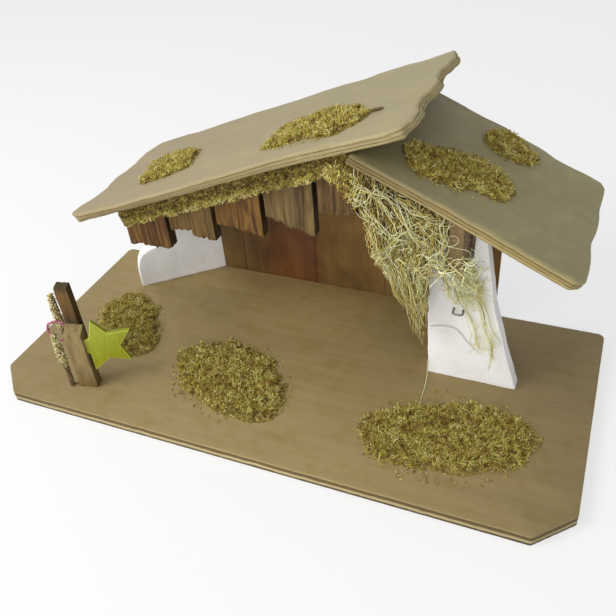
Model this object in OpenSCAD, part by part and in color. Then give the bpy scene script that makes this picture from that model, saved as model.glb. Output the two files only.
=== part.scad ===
// Nativity stable on a plywood base: two roof boards over a plank back wall and
// two white plastered side walls, with gable boards, moss, hay and a star.
// Units are millimetres. X runs left to right, Y from front to back, Z up.
// The origin is the centre of the underside of the base board.

/* [Base board] */
// Width of the base board, left to right
base_w = 450; // [430:5:480]
// Depth of the base board, front to back
base_d = 206; // [196:2:226]
// Thickness of the plywood base board
base_t = 10; // [8:0.5:14]
// Length sawn off each front corner, along both sides
corner_cut = 24.5; // [15:0.5:35]
// Rounding of the two back corners
back_corner_r = 5; // [3:0.5:10]

/* [Roof boards] */
// Thickness of both plywood roof boards
roof_t = 8; // [6:0.5:10]
// Length of the left roof board along its slope
left_roof_len = 290; // [280:1:300]
// Slope of the left roof board in degrees
left_pitch = 20.8; // [19:0.2:22]
// Place of the left eave along X
left_eave_x = -177.4; // [-185:0.2:-172]
// Height of the left eave's top edge above the base board
left_eave_h = 112; // [108:1:118]
// Length of the right roof board along its slope
right_roof_len = 162; // [153:1:172]
// Slope of the right roof board in degrees
right_pitch = 24.7; // [23:0.1:26]
// Place along X where the right board meets the left board's underside
ridge_x = 57.5; // [56:0.5:60]
// How far the roof reaches in front of the gable boards
roof_front_overhang = 17; // [12:1:22]
// How far the roof reaches behind the base board
roof_back_overhang = 15; // [8:1:20]
// Height of the hand-carved waves along the board ends
carve_wave = 2.2; // [0.5:0.1:3]
// Length of one carved wave
carve_pitch = 47; // [35:1:60]
// How far the left board's front edge wanders from a straight line
front_wander = 4; // [1:0.5:5]
// How far the knife took the left board's front edge back at its underside
under_cut = 4; // [1:0.5:6]

/* [Back wall] */
// Thickness of the upright back boards
back_board_t = 5; // [4:0.5:7]
// Left end of the back wall
back_left_x = -133; // [-135:0.5:-132]
// Right end of the back wall
back_right_x = 138; // [134:1:142]
// Gap under the back boards, above the surface that the base stands on
back_lift = 1; // [0.5:0.5:3]

/* [White walls] */
// Thickness of both white walls
wall_t = 11; // [9:0.5:12]
// Place of the left wall's front foot along X
left_foot_x = -176; // [-178:0.5:-174]
// Place of the left wall's front foot along Y
left_foot_y = 50; // [48:0.5:52]
// Turn of the left wall away from the front, in degrees
left_wall_turn = 41; // [40:0.5:43]
// Height of the left wall's round shoulder
shoulder_h = 38; // [34:1:44]
// Width of the left wall's shoulder, out to its neck
shoulder_w = 24; // [20:1:28]
// How far the left wall's back edge draws in above the shoulder
back_draw = 14; // [8:1:18]
// Front face of the right wall along Y
right_wall_y = 19; // [18.5:0.5:22]
// Left foot of the right wall along X
right_foot_x = 103.5; // [102:0.5:106]
// Width of the right wall at its foot
right_foot_w = 66; // [60:1:70]
// Lean of the right wall's left edge towards the ridge, at the notch
right_lean = 4; // [2:0.5:6]
// How far the right wall's outer edge draws in up to the tongue's top
right_draw = 32; // [29:0.5:33]

/* [Beams] */
// Width of the purlin on edge over the right wall
purlin_w = 10; // [8:0.5:12]
// Left face of the purlin along X
purlin_x = 118; // [117:0.5:120]
// Height of the purlin's underside above the base board
purlin_h = 111; // [105:1:118]
// How far the purlin's front end stands behind the roof's front edge
purlin_setback = 10; // [6:1:14]
// Clear slot beside the purlin in the right wall's notch
notch_play = 3; // [1:0.5:4]
// Width of the ridge beam
ridge_beam_w = 15.5; // [14:0.5:17]
// Height of the ridge beam below the right board
ridge_beam_h = 18; // [14:1:24]
// Width of the rafter behind the gable boards
rafter_w = 10; // [8:0.5:12]
// Height of the rafter behind the gable boards
rafter_h = 15; // [12:1:18]

/* [Gable boards] */
// Front face of the gable boards along Y
gable_y = 5; // [4:0.5:6]
// Thickness of the gable boards
gable_t = 10; // [8:0.5:11]
// Left edge of the first gable board
gable_left_x = -139; // [-143:1:-136]
// Length that the gable boards hang below the roof, at full share
gable_drop = 60; // [50:1:68]
// Depth of the broken teeth along their lower ends
ragged = 3; // [1:0.5:5]
// Depth of the sawn grooves along the boards
groove = 0.7; // [0.3:0.1:1.2]

/* [Moss] */
// Thickness of the moss pads
moss_h = 4; // [2.5:0.5:6]
// Height of the moss fringe under the roof edge
fringe_h = 20; // [14:1:24]
// Thickness of the moss fringe in front of the gable boards
fringe_t = 7; // [4:0.5:9]

/* [Hay] */
// Height of the hay sheaf's lower tip above the base board
sheaf_tip_h = 47; // [35:1:60]
// Depth of the hay sheaf, front to back
sheaf_d = 17; // [12:0.5:19]
// Width of the hay sheaf's lower tip
sheaf_tip_w = 9; // [6:0.5:14]
// Height of the hay tuft's lower tip above the base board
tuft_tip_h = 25; // [15:1:40]
// Depth of the hay tuft in front of the right wall
tuft_d = 9; // [6:0.5:10]
// Width of the hay tuft at its widest
tuft_w = 17; // [13:0.5:20]

/* [Stakes and twigs] */
// Width of the front stake
stake_w = 15.5; // [13:0.5:17]
// Thickness of the front stake
stake_t = 9; // [7:0.5:10]
// Height of the front stake
front_stake_h = 57; // [50:1:64]
// Height of the rear stake
rear_stake_h = 74; // [66:1:82]
// Slope of the front stake's sawn top in degrees
stake_slope = 30; // [20:1:40]
// Turn of the stakes from the front, in degrees
stake_turn = 13.7; // [10:0.1:18]
// Diameter of the two twigs
twig_d = 5.5; // [4:0.5:6.5]
// Height of the front twig
front_twig_h = 54; // [46:1:60]
// Height of the rear twig
rear_twig_h = 62; // [54:1:68]

/* [Star and loop] */
// Distance from the star's centre to its points
star_r = 25; // [20:0.5:28]
// Share of that distance at which the notches lie
star_notch_share = 0.5; // [0.42:0.01:0.56]
// Thickness of the wooden star
star_t = 4; // [3:0.5:6]
// Height of the star's centre above the base board
star_h = 38.5; // [32:0.5:44]
// Turn of the star from the front, in degrees
star_turn = 30; // [26:1:34]
// Diameter of the loop's cord
loop_cord_d = 2.4; // [2:0.2:3.4]
// Diameter of the loop, measured along its middle
loop_d = 13.5; // [11:0.5:16]
// Height of the loop's centre above the base board
loop_h = 46.5; // [40:0.5:50]

/* [Hardware] */
// Diameter of the wire hook
hook_wire_d = 1.6; // [1.2:0.1:2]
// Height of the hook above the base board
hook_h = 66; // [60:1:72]
// Diameter of the screws that hold the white walls
screw_d = 3; // [2.5:0.1:3.5]
// Length of these screws
screw_len = 24; // [20:1:30]
// Diameter of the nails in the back boards
nail_d = 1.4; // [1.2:0.1:1.8]
// Length of these nails
nail_len = 18; // [14:1:24]

/* [Hidden] */
$fn = 48;

// Clearance round screws, nails and the hook
fit = 0.1;
// Gap between hay and what it lies against
soft_gap = 0.3;
// Overrun of every cut
cut = 1;

// Colours of the real surfaces
plywood = [0.60, 0.52, 0.36];
roof_tan = [0.68, 0.62, 0.48];
stained = [0.33, 0.23, 0.13];
red_brown = [0.42, 0.26, 0.15];
plaster = [0.92, 0.92, 0.90];
moss_green = [0.60, 0.53, 0.24];
hay_straw = [0.78, 0.73, 0.48];
steel = [0.70, 0.70, 0.70];

// Heights of both faces of the two roof boards over a place x
left_eave_z = base_t + left_eave_h;
function left_top(x) = left_eave_z + (x - left_eave_x) * tan(left_pitch);
function left_under(x) = left_top(x) - roof_t / cos(left_pitch);
function right_top(x) = left_under(ridge_x) - (x - ridge_x) * tan(right_pitch);
function right_under(x) = right_top(x) - roof_t / cos(right_pitch);
// Lower corner of the right board's square upper end
ridge_in_x = ridge_x - roof_t * sin(right_pitch);
function under(x) = x < ridge_in_x ? left_under(x) : right_under(x);
roof_y0 = gable_y - roof_front_overhang;
roof_y1 = base_d / 2 + roof_back_overhang;
roof_depth = roof_y1 - roof_y0;
back_y = base_d / 2;

function lerp(a, b, t) = a + (b - a) * t;
// Smooth curve through a list of values set at even steps, at t from 0 to 1
function curve(values, t) =
    let(
        n = len(values) - 1,
        i = min(floor(t * n), n - 1),
        f = t * n - i,
        a = values[max(i - 1, 0)],
        b = values[i],
        c = values[i + 1],
        d = values[min(i + 2, n)]
    )
    b + f * ((c - a) / 2 + f * ((2 * a - 5 * b + 4 * c - d) / 2 + f * (3 * b - a - 3 * c + d) / 2));
// The same curve closed to a loop, with the values set at even angles from 0 to 360
function round_curve(values, a) =
    let(n = len(values), turn = a - 360 * floor(a / 360))
    curve(concat([values[n - 1]], values, [values[0], values[1]]), (turn / 360 * n + 1) / (n + 2));
// Points between two places along x that follow the roof's underside
function roof_line(x0, x1) = concat(
    [[x0, under(x0)]],
    x0 < ridge_in_x && ridge_in_x < x1
        ? [[ridge_in_x, left_under(ridge_in_x)], [ridge_in_x, right_under(ridge_in_x)]]
        : [],
    [[x1, under(x1)]]
);
// Carved wave of one ply along a board's end, with a smaller wave on it
small_wave_share = 0.35;
small_pitch_share = 0.32;
ply_shift = 25;
function carved(y, ply) = carve_wave * (
    sin(360 * y / carve_pitch + ply_shift * ply)
    + small_wave_share * sin(360 * y / (carve_pitch * small_pitch_share) + 3 * ply_shift * ply)
);

// Upright slab from an outline in X and Z, between two places along Y
module slab(y0, y1) {
    translate([0, y1, 0])
        rotate([90, 0, 0])
            linear_extrude(y1 - y0)
                children();
}

// Base board

base_nail_z = base_t / 2;

module base_outline() {
    w = base_w / 2;
    d = base_d / 2;
    arc = [for (a = [0:15:90]) a];
    polygon(concat(
        [[-w + corner_cut, -d], [w - corner_cut, -d], [w, -d + corner_cut]],
        [for (a = arc) [w - back_corner_r * (1 - cos(a)), d - back_corner_r * (1 - sin(a))]],
        [for (a = arc) [-w + back_corner_r * (1 - sin(a)), d - back_corner_r * (1 - cos(a))]],
        [[-w, -d + corner_cut]]
    ));
}

module base_board() {
    color(plywood)
        difference() {
            linear_extrude(base_t)
                base_outline();
            screw_holes();
            nail_holes();
        }
}

// White walls

// Outline shares of the left wall: its front edge swells to a shoulder below the neck
left_shoulder_x_shares = [0, -0.02, 0.04, 0.22, 0.6, 0.86, 1];
left_shoulder_z_shares = [0, 0.3, 0.62, 0.86, 0.98, 1.04, 1.3];
left_back_x_shares = [0, -0.1, -0.12, 0.1, 0.45, 0.8, 1];
left_back_z_shares = [0, 0.35, 0.85, 1.15, 1.35, 1.6, 2];
left_wall_len = (back_y - left_foot_y) / sin(left_wall_turn);
edge_steps = 12;

module left_wall_outline() {
    peak = left_top(0);
    front = [for (i = [0:edge_steps])
        [shoulder_w * curve(left_shoulder_x_shares, i / edge_steps),
         shoulder_h * curve(left_shoulder_z_shares, i / edge_steps)]];
    back = [for (i = [edge_steps:-1:0])
        [left_wall_len - back_draw * curve(left_back_x_shares, i / edge_steps),
         shoulder_h * curve(left_back_z_shares, i / edge_steps)]];
    polygon(concat(front, [[shoulder_w, peak], [left_wall_len - back_draw, peak]], back));
}

module left_wall_place() {
    translate([left_foot_x, left_foot_y, base_t])
        rotate([0, 0, left_wall_turn])
            children();
}

// Everything above the left roof board's underside, as a cutter
module over_left_roof() {
    slab(-base_d, base_d)
        polygon([
            [-base_w, left_under(-base_w)],
            [base_w, left_under(base_w)],
            [-base_w, left_under(base_w)]
        ]);
}

module left_wall() {
    color(plaster)
        difference() {
            left_wall_place()
                slab(0, wall_t)
                    left_wall_outline();
            over_left_roof();
            translate([-base_w / 2, back_y, 0])
                cube([base_w, base_d, base_w]);
            screw_holes();
        }
}

// Outer edge of the right wall, from its foot to the top of its tongue
right_edge_shares = [0, 0.25, 0.46, 0.68, 0.8, 0.93, 1];
notch_x0 = purlin_x - fit;
notch_x1 = purlin_x + purlin_w + notch_play;
tongue_lean = notch_play / 2;
right_wall_foot_x1 = right_foot_x + right_foot_w;
right_wall_top_x = right_wall_foot_x1 - right_draw;
right_wall_top_z = right_under(right_wall_top_x);

module right_wall_outline() {
    foot = base_t;
    notch = base_t + purlin_h;
    left_top_x = right_foot_x - right_lean;
    tongue_x = notch_x1 + tongue_lean;
    edge = [for (i = [0:edge_steps])
        [right_wall_foot_x1 - right_draw * curve(right_edge_shares, i / edge_steps),
         lerp(foot, right_wall_top_z, i / edge_steps)]];
    polygon(concat(
        [[right_foot_x, foot]],
        edge,
        [[tongue_x, right_under(tongue_x)], [notch_x1, notch]],
        [[notch_x0, notch], [notch_x0, right_under(notch_x0)]],
        [[left_top_x, right_under(left_top_x)], [left_top_x, notch]]
    ));
}

module right_wall() {
    color(plaster)
        difference() {
            slab(right_wall_y, right_wall_y + wall_t)
                right_wall_outline();
            screw_holes();
            hook_hole();
        }
}

// Roof boards, each of three plies whose carved edges differ a little

plies = 3;
ply_t = roof_t / plies;
long_steps = 18;
short_steps = 22;
left_front_shares = [0.1, 0.75, 0.6, 0.1, -0.6, -1, 0, 1];
roof_back_shares = [0, -0.1, 0.3, 0.5, 0.3, 0, -0.2];
left_under_shares = [0.5, 1, 1, 0.8, 0.6, 0.1, 0.2, 0.5];
corner_ease = 6;
// How far the left board's front corner stands out at the low end, and over how many steps
left_nose = 3;
nose_steps = 3;
right_front_shares = [0.7, 0.6, 0.4, 0.1, -0.05, -0.1, -0.1, 0];
// How far the right board's low end is carved back, from front to back, in carved waves
right_end_shares = [0.8, 0.65, 0.35, 0.35, 0.85, 1.25, 0.65, 0.25, 0.2, 0.7, 0.55, 0.35, 0.15, 0.15];
right_end_step = 0.4;
// Back edges: share of the length from the low end, and share of the wander outwards
left_back_line = [for (i = [1:long_steps - 1]) [i / long_steps, curve(roof_back_shares, i / long_steps)]];
right_back_line = [
    [0.035, -1], [0.09, -1.1], [0.17, -1.5], [0.25, -1.6], [0.29, -0.8], [0.34, -0.25], [0.42, -0.3],
    [0.474, -0.8], [0.484, 0.85], [0.56, 0.65], [0.62, 0.3], [0.68, -0.05], [0.85, 0], [0.97, 0]
];

// Outline of one ply: x up the slope from the low end, y from front to back
function roof_outline(length, front_shares, under_shares, back_line, nose, left_board, ply) = concat(
    [for (i = [1:long_steps - 1])
        let(
            t = i / long_steps,
            cut_back = under_cut * (1 - ply / (plies - 1)) * curve(under_shares, t)
        )
        [length * t, roof_y0 - front_wander * curve(front_shares, t) + cut_back]],
    [for (i = [0:short_steps])
        let(y = lerp(roof_y0, roof_y1, i / short_steps))
        [length - (left_board ? carve_wave - carved(y, ply) : 0), y]],
    [for (i = [len(back_line) - 1:-1:0])
        [length * back_line[i][0], roof_y1 + front_wander * back_line[i][1] / 2]],
    [for (i = [short_steps:-1:0])
        let(
            t = i / short_steps,
            y = lerp(roof_y0 - front_wander * front_shares[0], roof_y1 + front_wander * back_line[0][1] / 2, t),
            ease = (i == 0 ? corner_ease : i == short_steps ? corner_ease / 2 : 0)
                - (i <= nose_steps ? nose : 0),
            cut_in = left_board
                ? carve_wave - carved(y, ply + 1)
                : carve_wave * curve(right_end_shares, t) + right_end_step * (plies - 1 - ply)
        )
        [cut_in + ease, y]]
);

module left_roof_place() {
    translate([left_eave_x, 0, left_eave_z])
        rotate([0, -left_pitch, 0])
            children();
}

module right_roof_place() {
    eave_x = ridge_x + right_roof_len * cos(right_pitch);
    translate([eave_x, 0, right_top(eave_x)])
        rotate([0, right_pitch, 0])
            mirror([1, 0, 0])
                children();
}

// Stack of plies, with a carved low end and, on the left board, a carved high end too
module roof_board(length, front_shares, under_shares, back_line, nose, left_board) {
    for (ply = [0:plies - 1])
        translate([0, 0, -roof_t + ply * ply_t])
            linear_extrude(ply_t)
                polygon(roof_outline(length, front_shares, under_shares, back_line, nose, left_board, ply));
}

module left_roof() {
    color(roof_tan)
        left_roof_place()
            roof_board(left_roof_len, left_front_shares, left_under_shares, left_back_line, left_nose, true);
}

module right_roof() {
    color(plywood)
        right_roof_place()
            roof_board(right_roof_len, right_front_shares, [0, 0], right_back_line, 0, false);
}

// Back wall of upright boards, nailed to the rear edge of the base board

back_seam_shares = [0, 0.148, 0.408, 0.648, 0.897, 1];
back_seam = 0.4;
function back_x(i) = lerp(back_left_x, back_right_x, back_seam_shares[i]);

module back_board(i) {
    x0 = back_x(i) + (i == 0 ? 0 : back_seam / 2);
    x1 = back_x(i + 1) - (i == len(back_seam_shares) - 2 ? 0 : back_seam / 2);
    color(i < 2 ? red_brown : stained)
        difference() {
            slab(back_y, back_y + back_board_t)
                polygon(concat([[x1, back_lift], [x0, back_lift]], roof_line(x0, x1)));
            nail_holes();
        }
}

// Beams under the roof

beam_y0 = gable_y + gable_t;

module front_rafter() {
    x1 = ridge_in_x - ridge_beam_w / 2;
    color(stained)
        slab(beam_y0, beam_y0 + rafter_w)
            polygon([
                [gable_left_x, left_under(gable_left_x)],
                [gable_left_x, left_under(gable_left_x) - rafter_h],
                [x1, left_under(x1) - rafter_h],
                [x1, left_under(x1)]
            ]);
}

module ridge_beam() {
    x0 = ridge_in_x - ridge_beam_w / 2;
    x1 = ridge_in_x + ridge_beam_w / 2;
    foot = right_under(x1) - ridge_beam_h;
    color(stained)
        slab(beam_y0, back_y)
            polygon(concat([[x1, foot], [x0, foot]], roof_line(x0, x1)));
}

module right_purlin() {
    x1 = purlin_x + purlin_w;
    foot = base_t + purlin_h;
    color(stained)
        slab(roof_y0 + purlin_setback, back_y)
            polygon([[x1, foot], [purlin_x, foot], [purlin_x, right_under(purlin_x)], [x1, right_under(x1)]]);
}

// Gable boards, broken off raggedly below

// Each row: left and right edge, hang at the left and right edge, setback, number of grooves
gable_shares = [
    [0, 0.2, 0.63, 0.835, 0, 7],
    [0.212, 0.314, 0.565, 0.66, 0.1, 5],
    [0.314, 0.416, 0.71, 0.86, 0, 5],
    [0.434, 0.627, 0.63, 0.94, 0.05, 8],
    [0.645, 0.838, 0.68, 1.11, 0.12, 7],
    [0.862, 1, 0.8, 0.91, 0, 6]
];
gable_right_x = ridge_in_x - fit;
teeth = 9;

module gable_board(i) {
    row = gable_shares[i];
    x0 = lerp(gable_left_x, gable_right_x, row[0]);
    x1 = lerp(gable_left_x, gable_right_x, row[1]);
    front = gable_y + gable_t * row[4];
    grooves = row[5];
    breaks = rands(0, 1, teeth + 1, 7 + i);
    color(i == 0 || i == 3 ? red_brown : stained)
        intersection() {
            slab(gable_y - cut, beam_y0)
                polygon(concat(
                    [[x0, left_under(x0)]],
                    [for (k = [0:teeth])
                        let(
                            t = k / teeth,
                            x = lerp(x0, x1, t),
                            hang = gable_drop * lerp(row[2], row[3], t)
                        )
                        [x, left_under(x) - hang + ragged * breaks[k]]],
                    [[x1, left_under(x1)]]
                ));
            linear_extrude(left_top(gable_right_x))
                polygon(concat(
                    [for (k = [0:2 * grooves])
                        [lerp(x0, x1, k / (2 * grooves)), front + (k % 2 == 0 ? groove : 0)]],
                    [[x1, beam_y0], [x0, beam_y0]]
                ));
        }
}

// Moss: a fringe under the roof edge and low pads glued to the boards

fringe_steps = 44;
// Least shares of the fringe's height and thickness, and how far each wanders
fringe_low_share = 0.8;
fringe_out_share = 0.65;
fringe_belly_shares = [0.27, 0.12];
// How far each line of the fringe stands out, from the roof down
fringe_line_shares = [0.8, 1, 0.7, 0.25];

module moss_fringe() {
    rough = rands(0, 1, 3 * (fringe_steps + 1), 21);
    x1 = gable_right_x;
    rings = [for (i = [0:fringe_steps])
        let(
            x = lerp(gable_left_x, x1, i / fringe_steps),
            z = left_under(x),
            low = fringe_h * lerp(fringe_low_share, 1, rough[3 * i]),
            out = fringe_t * lerp(fringe_out_share, 1, rough[3 * i + 1]),
            belly = fringe_h * (fringe_belly_shares * [1, rough[3 * i + 2]]),
            lines = fringe_line_shares * out
        )
        [[x, gable_y, z], [x, gable_y - lines[0], z], [x, gable_y - lines[1], z - belly],
         [x, gable_y - lines[2], z - 2 * belly], [x, gable_y - lines[3], z - low], [x, gable_y, z - low]]];
    color(moss_green)
        loft(rings);
}

// Closed skin over a list of rings that hold as many points each, with an optional point over the last
module loft(rings, tip = undef) {
    n = len(rings[0]);
    last = len(rings) - 1;
    points = concat([for (ring = rings) each ring], is_undef(tip) ? [] : [tip]);
    far_end = is_undef(tip)
        ? [[for (j = [n - 1:-1:0]) last * n + j]]
        : [for (j = [0:n - 1]) [last * n + j, (last + 1) * n, last * n + (j + 1) % n]];
    polyhedron(
        points,
        concat(
            [for (i = [0:last - 1], j = [0:n - 1])
                each [[i * n + j, (i + 1) * n + j, i * n + (j + 1) % n],
                      [i * n + (j + 1) % n, (i + 1) * n + j, (i + 1) * n + (j + 1) % n]]],
            [[for (j = [0:n - 1]) j]],
            far_end
        ),
        convexity = 6
    );
}

pad_sides = 36;
pad_ring_shares = [1, 0.96, 0.82, 0.64, 0.45, 0.26];
pad_lump = 9;
rim_wave_share = 0.04;
pad_edge_share = 0.25;
pad_lump_share = 0.4;

// Low rough mound on the plane z = 0, whose rim holds shares of both half sizes at even angles
module moss_pad(rx, ry, rim, seed) {
    turns = rands(0, 360, 5, seed);
    function rim_share(a) = round_curve(rim, a) + rim_wave_share * sin(7 * a + turns[0]);
    // Lumps run from 0 to 1 over the pad
    function lumps(x, y) = (2 + sin(360 * x / pad_lump + turns[2]) * cos(360 * y / pad_lump + turns[3])
        + sin(200 * (x + y) / pad_lump + turns[4])) / 4;
    function top(x, y, share) =
        moss_h * lerp(pad_edge_share, 1, sqrt(1 - share * share) * (1 - pad_lump_share * lumps(x, y)));
    rings = [for (share = pad_ring_shares)
        [for (j = [0:pad_sides - 1])
            let(
                a = -360 * j / pad_sides,
                x = rx * share * rim_share(a) * cos(a),
                y = ry * share * rim_share(a) * sin(a)
            )
            [x, y, share == 1 ? 0 : top(x, y, share)]]];
    color(moss_green)
        loft(rings, [0, 0, top(0, 0, 0)]);
}

// Each row: centre along X and Y as shares of half the base, half sizes as shares of the base depth
base_moss_shares = [
    [-0.701, -0.01, 0.187, 0.196],
    [-0.181, -0.345, 0.271, 0.196],
    [0.594, -0.407, 0.3, 0.172]
];
base_moss_rims = [
    [0.76, 0.6, 0.67, 0.84, 1.08, 1.1, 0.75, 0.68, 0.71, 0.83, 1.14, 1.17],
    [0.83, 0.72, 0.8, 0.96, 1.05, 1.07, 0.88, 0.75, 0.79, 0.82, 1.14, 1.1],
    [0.91, 1.12, 1.15, 0.98, 0.8, 0.84, 0.96, 1.1, 1.14, 0.92, 0.84, 0.82]
];

module base_moss(i) {
    row = base_moss_shares[i];
    translate([row[0] * base_w / 2, row[1] * base_d / 2, base_t])
        moss_pad(row[2] * base_d, row[3] * base_d, base_moss_rims[i], 31 + i);
}

// Each row: place up the slope and from front to back, half sizes along the same ways, as shares of the board
left_roof_moss_shares = [[0.249, 0.401, 0.102, 0.209], [0.726, 0.331, 0.147, 0.212]];
left_roof_moss_rims = [
    [0.88, 0.82, 0.89, 0.93, 1.1, 1.05, 0.81, 0.71, 1, 0.93, 0.98, 1.08],
    [0.92, 0.84, 0.87, 1, 0.9, 1, 0.84, 1.08, 0.71, 0.72, 1.05, 1.05]
];
right_roof_moss_shares = [[0.602, 0.334, 0.251, 0.206], [0.46, 0.815, 0.133, 0.14]];
right_roof_moss_rims = [
    [0.93, 0.73, 0.6, 0.82, 1.1, 1.03, 0.94, 0.71, 0.55, 0.78, 1.1, 1.08],
    [0.92, 0.91, 0.95, 0.99, 0.84, 0.84, 1, 0.98, 0.9, 0.94, 0.88, 1]
];

module roof_moss(row, length, rim, seed) {
    translate([row[0] * length, roof_y0 + row[1] * roof_depth, 0])
        moss_pad(row[2] * length, row[3] * roof_depth, rim, seed);
}

// Hay: a sheaf under the right roof's front and a tuft over the right wall

hay_sides = 48;
hay_locks = 12;
hay_rings = 15;
lock_depth_share = 0.16;
lock_swirl = 200;
sheaf_width_shares = [1, 0.92, 0.68, 0.52, 0.36, 0];
sheaf_middle_shares = [0, 0, -0.2, 0.1, 0.65, 1];
sheaf_depth_shares = [1, 1, 0.95, 0.8, 0.6, 0.35];
tuft_width_shares = [0.8, 0.78, 1, 0.8, 0.62, 0.3];
tuft_middle_shares = [0, 0.03, 0.32, 0.6, 0.82, 1];
tuft_depth_shares = [0.8, 0.95, 1, 0.9, 0.7, 0.4];
sheaf_x0 = gable_right_x + soft_gap;
sheaf_x1 = purlin_x - soft_gap;
sheaf_tip_x = right_foot_x - sheaf_tip_w;
tuft_hang_share = 0.44;
tuft_x = purlin_x - soft_gap - tuft_w * tuft_hang_share;
tuft_swing = 40;
tuft_top_z = base_t + purlin_h + tuft_w;
tuft_y1 = right_wall_y - soft_gap;
sheaf_y1 = tuft_y1 - tuft_d - soft_gap;

// Ring of hay whose locks swirl a little as they fall
function lock_wave(a, t) = 1 - lock_depth_share * (0.5 - 0.5 * cos(hay_locks * a + lock_swirl * t));
function hay_ring(middle, half_w, y1, half_d, t) =
    [for (j = [0:hay_sides - 1])
        let(
            a = 360 * j / hay_sides,
            w = lock_wave(a, t)
        )
        [middle + half_w * w * cos(a), y1 - half_d + half_d * w * sin(a)]];
// Locks end at different heights
function lock_end(j, t) = t * t * (1 + sin((360 * hay_locks + 500) * j / hay_sides)) / 2;

module hay_sheaf() {
    top_w = sheaf_x1 - sheaf_x0;
    top_x = (sheaf_x0 + sheaf_x1) / 2;
    tip_z = base_t + sheaf_tip_h;
    tip_y = sheaf_y1 - sheaf_d / 2 * curve(sheaf_depth_shares, 1);
    rings = [for (i = [0:hay_rings])
        let(
            t = i / hay_rings,
            width = sheaf_tip_w + (top_w - sheaf_tip_w) * curve(sheaf_width_shares, t),
            middle = lerp(top_x, sheaf_tip_x, curve(sheaf_middle_shares, t)),
            ring = hay_ring(middle, width / 2, sheaf_y1, sheaf_d / 2 * curve(sheaf_depth_shares, t), t)
        )
        [for (j = [0:hay_sides - 1])
            let(top_z = right_under(top_x + (ring[j][0] - middle) * top_w / width))
            [ring[j][0], ring[j][1], lerp(top_z, tip_z + sheaf_d * lock_end(j, t), t)]]];
    color(hay_straw)
        loft(rings, [sheaf_tip_x, tip_y, tip_z + sheaf_d]);
}

module hay_tuft() {
    tip_z = base_t + tuft_tip_h;
    tip_y = tuft_y1 - tuft_d / 2 * curve(tuft_depth_shares, 1);
    rings = [for (i = [0:hay_rings])
        let(
            t = i / hay_rings,
            width = tuft_w * curve(tuft_width_shares, t),
            middle = tuft_x + tuft_swing * curve(tuft_middle_shares, t),
            ring = hay_ring(middle, width / 2, tuft_y1, tuft_d / 2 * curve(tuft_depth_shares, t), t)
        )
        [for (j = [0:hay_sides - 1])
            [ring[j][0], ring[j][1], lerp(tuft_top_z, tip_z + tuft_d * lock_end(j, t), t)]]];
    color(hay_straw)
        loft(rings, [tuft_x + tuft_swing, tip_y, tip_z + tuft_d]);
}

// Stakes, twigs, star and loop at the front left

// Each row: distance from the base board's left end and from its front edge
front_stake_inset = [79.5, 28.3];
rear_stake_inset = [56, 53.5];
front_twig_inset = [67, 21.5];
rear_twig_inset = [43, 52];
star_inset = [97.5, 36];

front_stake_x = -base_w / 2 + front_stake_inset[0];
front_stake_y = -base_d / 2 + front_stake_inset[1];
rear_stake_x = -base_w / 2 + rear_stake_inset[0];
rear_stake_y = -base_d / 2 + rear_stake_inset[1];
front_twig_x = -base_w / 2 + front_twig_inset[0];
front_twig_y = -base_d / 2 + front_twig_inset[1];
rear_twig_x = -base_w / 2 + rear_twig_inset[0];
rear_twig_y = -base_d / 2 + rear_twig_inset[1];
star_x = -base_w / 2 + star_inset[0];
star_y = -base_d / 2 + star_inset[1];
stake_taper_share = 0.9;
rear_stake_share = 0.78;
rear_slope_share = 0.25;

module stake(width, depth, height, slope) {
    slope_drop = depth * tan(slope);
    difference() {
        slab(-depth / 2, depth / 2)
            polygon([
                [-width / 2, 0],
                [width / 2, 0],
                [width / 2 * stake_taper_share, height + slope_drop],
                [-width / 2 * stake_taper_share, height + slope_drop]
            ]);
        translate([0, -depth / 2, height - slope_drop])
            rotate([slope, 0, 0])
                translate([-width, -width, 0])
                    cube([2 * width, 4 * width, 2 * width]);
    }
}

module front_stake_place() {
    translate([front_stake_x, front_stake_y, base_t])
        rotate([0, 0, stake_turn])
            children();
}

module front_stake() {
    color(red_brown)
        front_stake_place()
            stake(stake_w, stake_t, front_stake_h, stake_slope);
}

module rear_stake() {
    color(stained)
        translate([rear_stake_x, rear_stake_y, base_t])
            rotate([0, 0, stake_turn])
                stake(stake_w * rear_stake_share, stake_t * rear_stake_share, rear_stake_h,
                    stake_slope * rear_slope_share);
}

// Knotty round twig: radius shares from its foot to its tip
twig_shares = [0.72, 0.8, 0.7, 0.86, 0.78, 1, 0.9, 0.98, 0.82, 0.55];

module twig(height) {
    last = len(twig_shares) - 1;
    rotate_extrude()
        polygon(concat(
            [[0, 0]],
            [for (i = [0:last]) [twig_d / 2 * twig_shares[i], height * i / last]],
            [[0, height]]
        ));
}

module front_twig() {
    color(red_brown)
        translate([front_twig_x, front_twig_y, base_t])
            twig(front_twig_h);
}

module rear_twig() {
    color(moss_green)
        translate([rear_twig_x, rear_twig_y, base_t])
            twig(rear_twig_h);
}

// Thin dark twig stuck to the high moss pad on the left roof board
roof_twig_len = 14;
roof_twig_scale = 0.4;
roof_twig_x_share = 0.876;
roof_twig_y_share = 0.322;
roof_twig_turn = -9.5;

module roof_twig() {
    color(stained)
        left_roof_place()
            translate([roof_twig_x_share * left_roof_len, roof_y0 + roof_twig_y_share * roof_depth,
                       twig_d / 2 * roof_twig_scale])
                rotate([0, 0, roof_twig_turn])
                    translate([-roof_twig_len / 2, 0, 0])
                        rotate([0, 90, 0])
                            scale(roof_twig_scale)
                                twig(roof_twig_len / roof_twig_scale);
}

star_points = 5;
star_first_angle = 100;

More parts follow.
